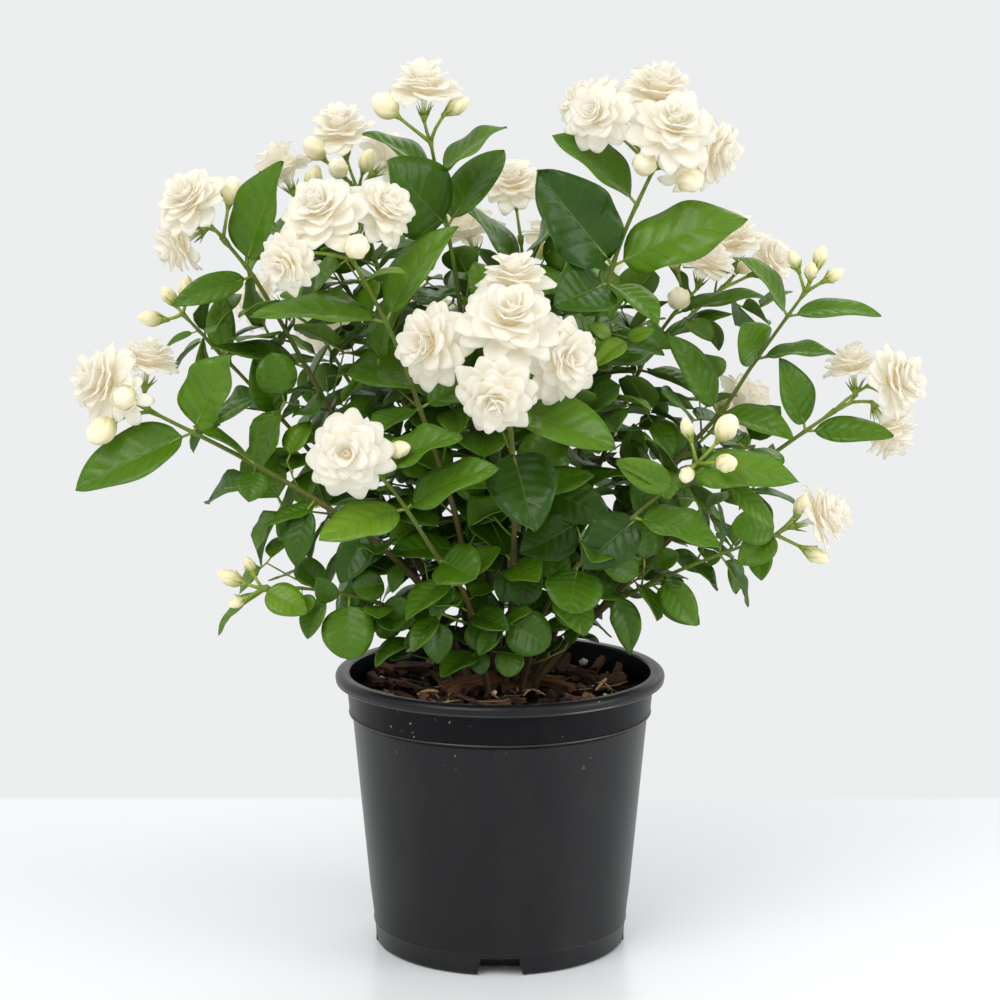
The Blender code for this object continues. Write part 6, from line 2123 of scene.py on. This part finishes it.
def make_buds(settings):
    """For each stem with buds, one piece: its buds, closed or half open."""
    for stem, names in shoots_by_stem():
        closed, opening = new_shell(), new_shell()
        for flower in FLOWERS:
            if flower.shoot not in names or flower.kind == "bloom":
                continue
            draw = random.Random(f"bud {flower.place}")
            foot, length = bud_foot(flower)
            if flower.kind == "bud":
                add_bud(closed, foot, length, flower, draw)
            else:
                ball = flower._replace(size=flower.size * HALF_BALL)
                add_bud(closed, foot, ball.size, ball, draw)
                size, seed = flower.size * HALF_SIZE, f"half {flower.place}"
                add_bloom(opening, foot, flower.faces, size, HALF_WHORLS, seed)
        if closed.faces:
            add_piece(stem.replace("stem", "buds"), closed, [finish_of("bud")], [stem])
        if opening.faces:
            name = stem.replace("stem", "opening")
            piece = add_piece(name, opening, [finish_of("petal")], [stem], closed=False)
            give_thickness(piece, settings.thickness, 0)


# Stage


def add_floor(settings):
    """A wide pale floor with a soft sheen, which turns into plain pale distance behind the plant."""
    shell = bmesh.new()
    bmesh.ops.create_grid(shell, x_segments=1, y_segments=1, size=9)
    mesh = bpy.data.meshes.new("floor")
    shell.to_mesh(mesh)
    shell.free()
    finish = Finish("floor")
    place = finish.node("TexCoord", output=3)
    back = finish.node("SeparateXYZ", {}, {0: place}, output=1)
    far = back.between(0.250, 0.262)
    cloud = finish.noise(finish.object_place(0.002), detail=2)
    finish.finish(Base_Color=settings.floor, Roughness=cloud * 0.06 + 0.22)
    distance = finish.node("Emission", {}, {"Color": settings.air})
    finish.mix_in(far, distance)
    mesh.materials.append(finish.material)
    floor = bpy.data.objects.new("floor", mesh)
    bpy.context.scene.collection.objects.link(floor)
    floor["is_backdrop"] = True


def add_light(name, place, target, size, power, colour=(1, 1, 1)):
    """A square area light that looks at a point."""
    light = bpy.data.lights.new(name, "AREA")
    light.shape = "SQUARE"
    light.size = size
    light.energy = power
    light.color = colour
    made = bpy.data.objects.new(name, light)
    made.location = place
    made.rotation_euler = (Vector(target) - Vector(place)).to_track_quat("-Z", "Y").to_euler()
    bpy.context.scene.collection.objects.link(made)


def make_stage(settings):
    """Floor, pale surroundings, three soft lights and the camera."""
    scene = bpy.context.scene
    add_floor(settings)
    world = bpy.data.worlds.new("surroundings")
    world.use_nodes = True
    world.node_tree.nodes["Background"].inputs["Color"].default_value = (*settings.air, 1)
    scene.world = world
    scene.view_settings.view_transform = "Standard"
    middle = (0, 0, 0.28)
    add_light("key", (-0.9, -1.3, 1.9), middle, 1.4, settings.key, (1, 0.985, 0.96))
    add_light("fill", (1.7, -0.7, 0.9), middle, 1.2, settings.fill)
    add_light("back", (0.5, 1.6, 1.5), middle, 1.2, settings.back)
    camera = bpy.data.cameras.new("camera")
    camera.lens = settings.lens
    camera.sensor_width = 36
    made = bpy.data.objects.new("camera", camera)
    made.location = (0, -1.25, 0.43)
    made.rotation_euler = (math.radians(90 - 9.05), 0, 0)
    scene.collection.objects.link(made)
    scene.camera = made


class MakePot(bpy.types.Operator):
    """Build the nursery pot with its rolled rim and drain notches"""

    bl_idname = "jasmine.make_pot"
    bl_label = "Pot"

    def execute(self, context):
        make_pot(context.scene.jasmine_pot)
        return {"FINISHED"}


class MakeMix(bpy.types.Operator):
    """Fill the pot with potting mix, bark chips, perlite and fibres"""

    bl_idname = "jasmine.make_mix"
    bl_label = "Potting mix"

    def execute(self, context):
        settings = context.scene.jasmine_mix
        make_mix_body()
        make_bark(settings)
        make_perlite(settings)
        make_fibres(settings)
        return {"FINISHED"}


class MakeCanes(bpy.types.Operator):
    """Grow the canes with their leaf stalks, flower stalks and calyxes"""

    bl_idname = "jasmine.make_canes"
    bl_label = "Canes"

    def execute(self, context):
        make_canes()
        return {"FINISHED"}


class MakeLeaves(bpy.types.Operator):
    """Grow the leaves of every stem"""

    bl_idname = "jasmine.make_leaves"
    bl_label = "Leaves"

    def execute(self, context):
        make_leaves(context.scene.jasmine_leaf)
        return {"FINISHED"}


class MakeBlooms(bpy.types.Operator):
    """Open the double blooms"""

    bl_idname = "jasmine.make_blooms"
    bl_label = "Blooms"

    def execute(self, context):
        make_blooms(context.scene.jasmine_bloom)
        return {"FINISHED"}


class MakeBuds(bpy.types.Operator):
    """Set the buds and half-open flowers on their stalks"""

    bl_idname = "jasmine.make_buds"
    bl_label = "Buds"

    def execute(self, context):
        make_buds(context.scene.jasmine_bloom)
        return {"FINISHED"}


class MakeStage(bpy.types.Operator):
    """Lay the floor and set up light and camera"""

    bl_idname = "jasmine.make_stage"
    bl_label = "Stage"

    def execute(self, context):
        make_stage(context.scene.jasmine_stage)
        return {"FINISHED"}


class JasminePanel(bpy.types.Panel):
    """The jasmine's settings and the buttons that build it"""

    bl_idname = "VIEW3D_PT_jasmine"
    bl_label = "Potted Jasmine"
    bl_space_type = "VIEW_3D"
    bl_region_type = "UI"
    bl_category = "Jasmine"

    def draw(self, context):
        for group, operators in GROUPS.items():
            box = self.layout.box()
            settings = getattr(context.scene, group)
            for name in settings.__annotations__:
                box.prop(settings, name)
            for operator in operators:
                box.operator(operator.bl_idname)


GROUPS = {
    "jasmine_stage": (MakeStage,),
    "jasmine_pot": (MakePot,),
    "jasmine_mix": (MakeMix,),
    "jasmine_cane": (MakeCanes,),
    "jasmine_leaf": (MakeLeaves,),
    "jasmine_bloom": (MakeBlooms, MakeBuds),
}
SETTINGS = {
    "jasmine_stage": StageSettings,
    "jasmine_pot": PotSettings,
    "jasmine_mix": MixSettings,
    "jasmine_cane": CaneSettings,
    "jasmine_leaf": LeafSettings,
    "jasmine_bloom": BloomSettings,
}
OPERATORS = (MakeStage, MakePot, MakeMix, MakeCanes, MakeLeaves, MakeBlooms, MakeBuds)


def register():
    for group, settings in SETTINGS.items():
        bpy.utils.register_class(settings)
        setattr(bpy.types.Scene, group, PointerProperty(type=settings))
    for operator in OPERATORS:
        bpy.utils.register_class(operator)
    bpy.utils.register_class(JasminePanel)


def unregister():
    bpy.utils.unregister_class(JasminePanel)
    for operator in reversed(OPERATORS):
        bpy.utils.unregister_class(operator)
    for group, settings in reversed(SETTINGS.items()):
        delattr(bpy.types.Scene, group)
        bpy.utils.unregister_class(settings)


def main():
    register()
    bpy.ops.jasmine.make_stage()
    bpy.ops.jasmine.make_pot()
    bpy.ops.jasmine.make_mix()
    bpy.ops.jasmine.make_canes()
    bpy.ops.jasmine.make_leaves()
    bpy.ops.jasmine.make_blooms()
    bpy.ops.jasmine.make_buds()
    boxes = {"cad": CAD_BOX, "visual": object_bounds()}
    {name: [list(corner) for corner in box] for name, box in boxes.items()}


if __name__ == "__main__":
    main()
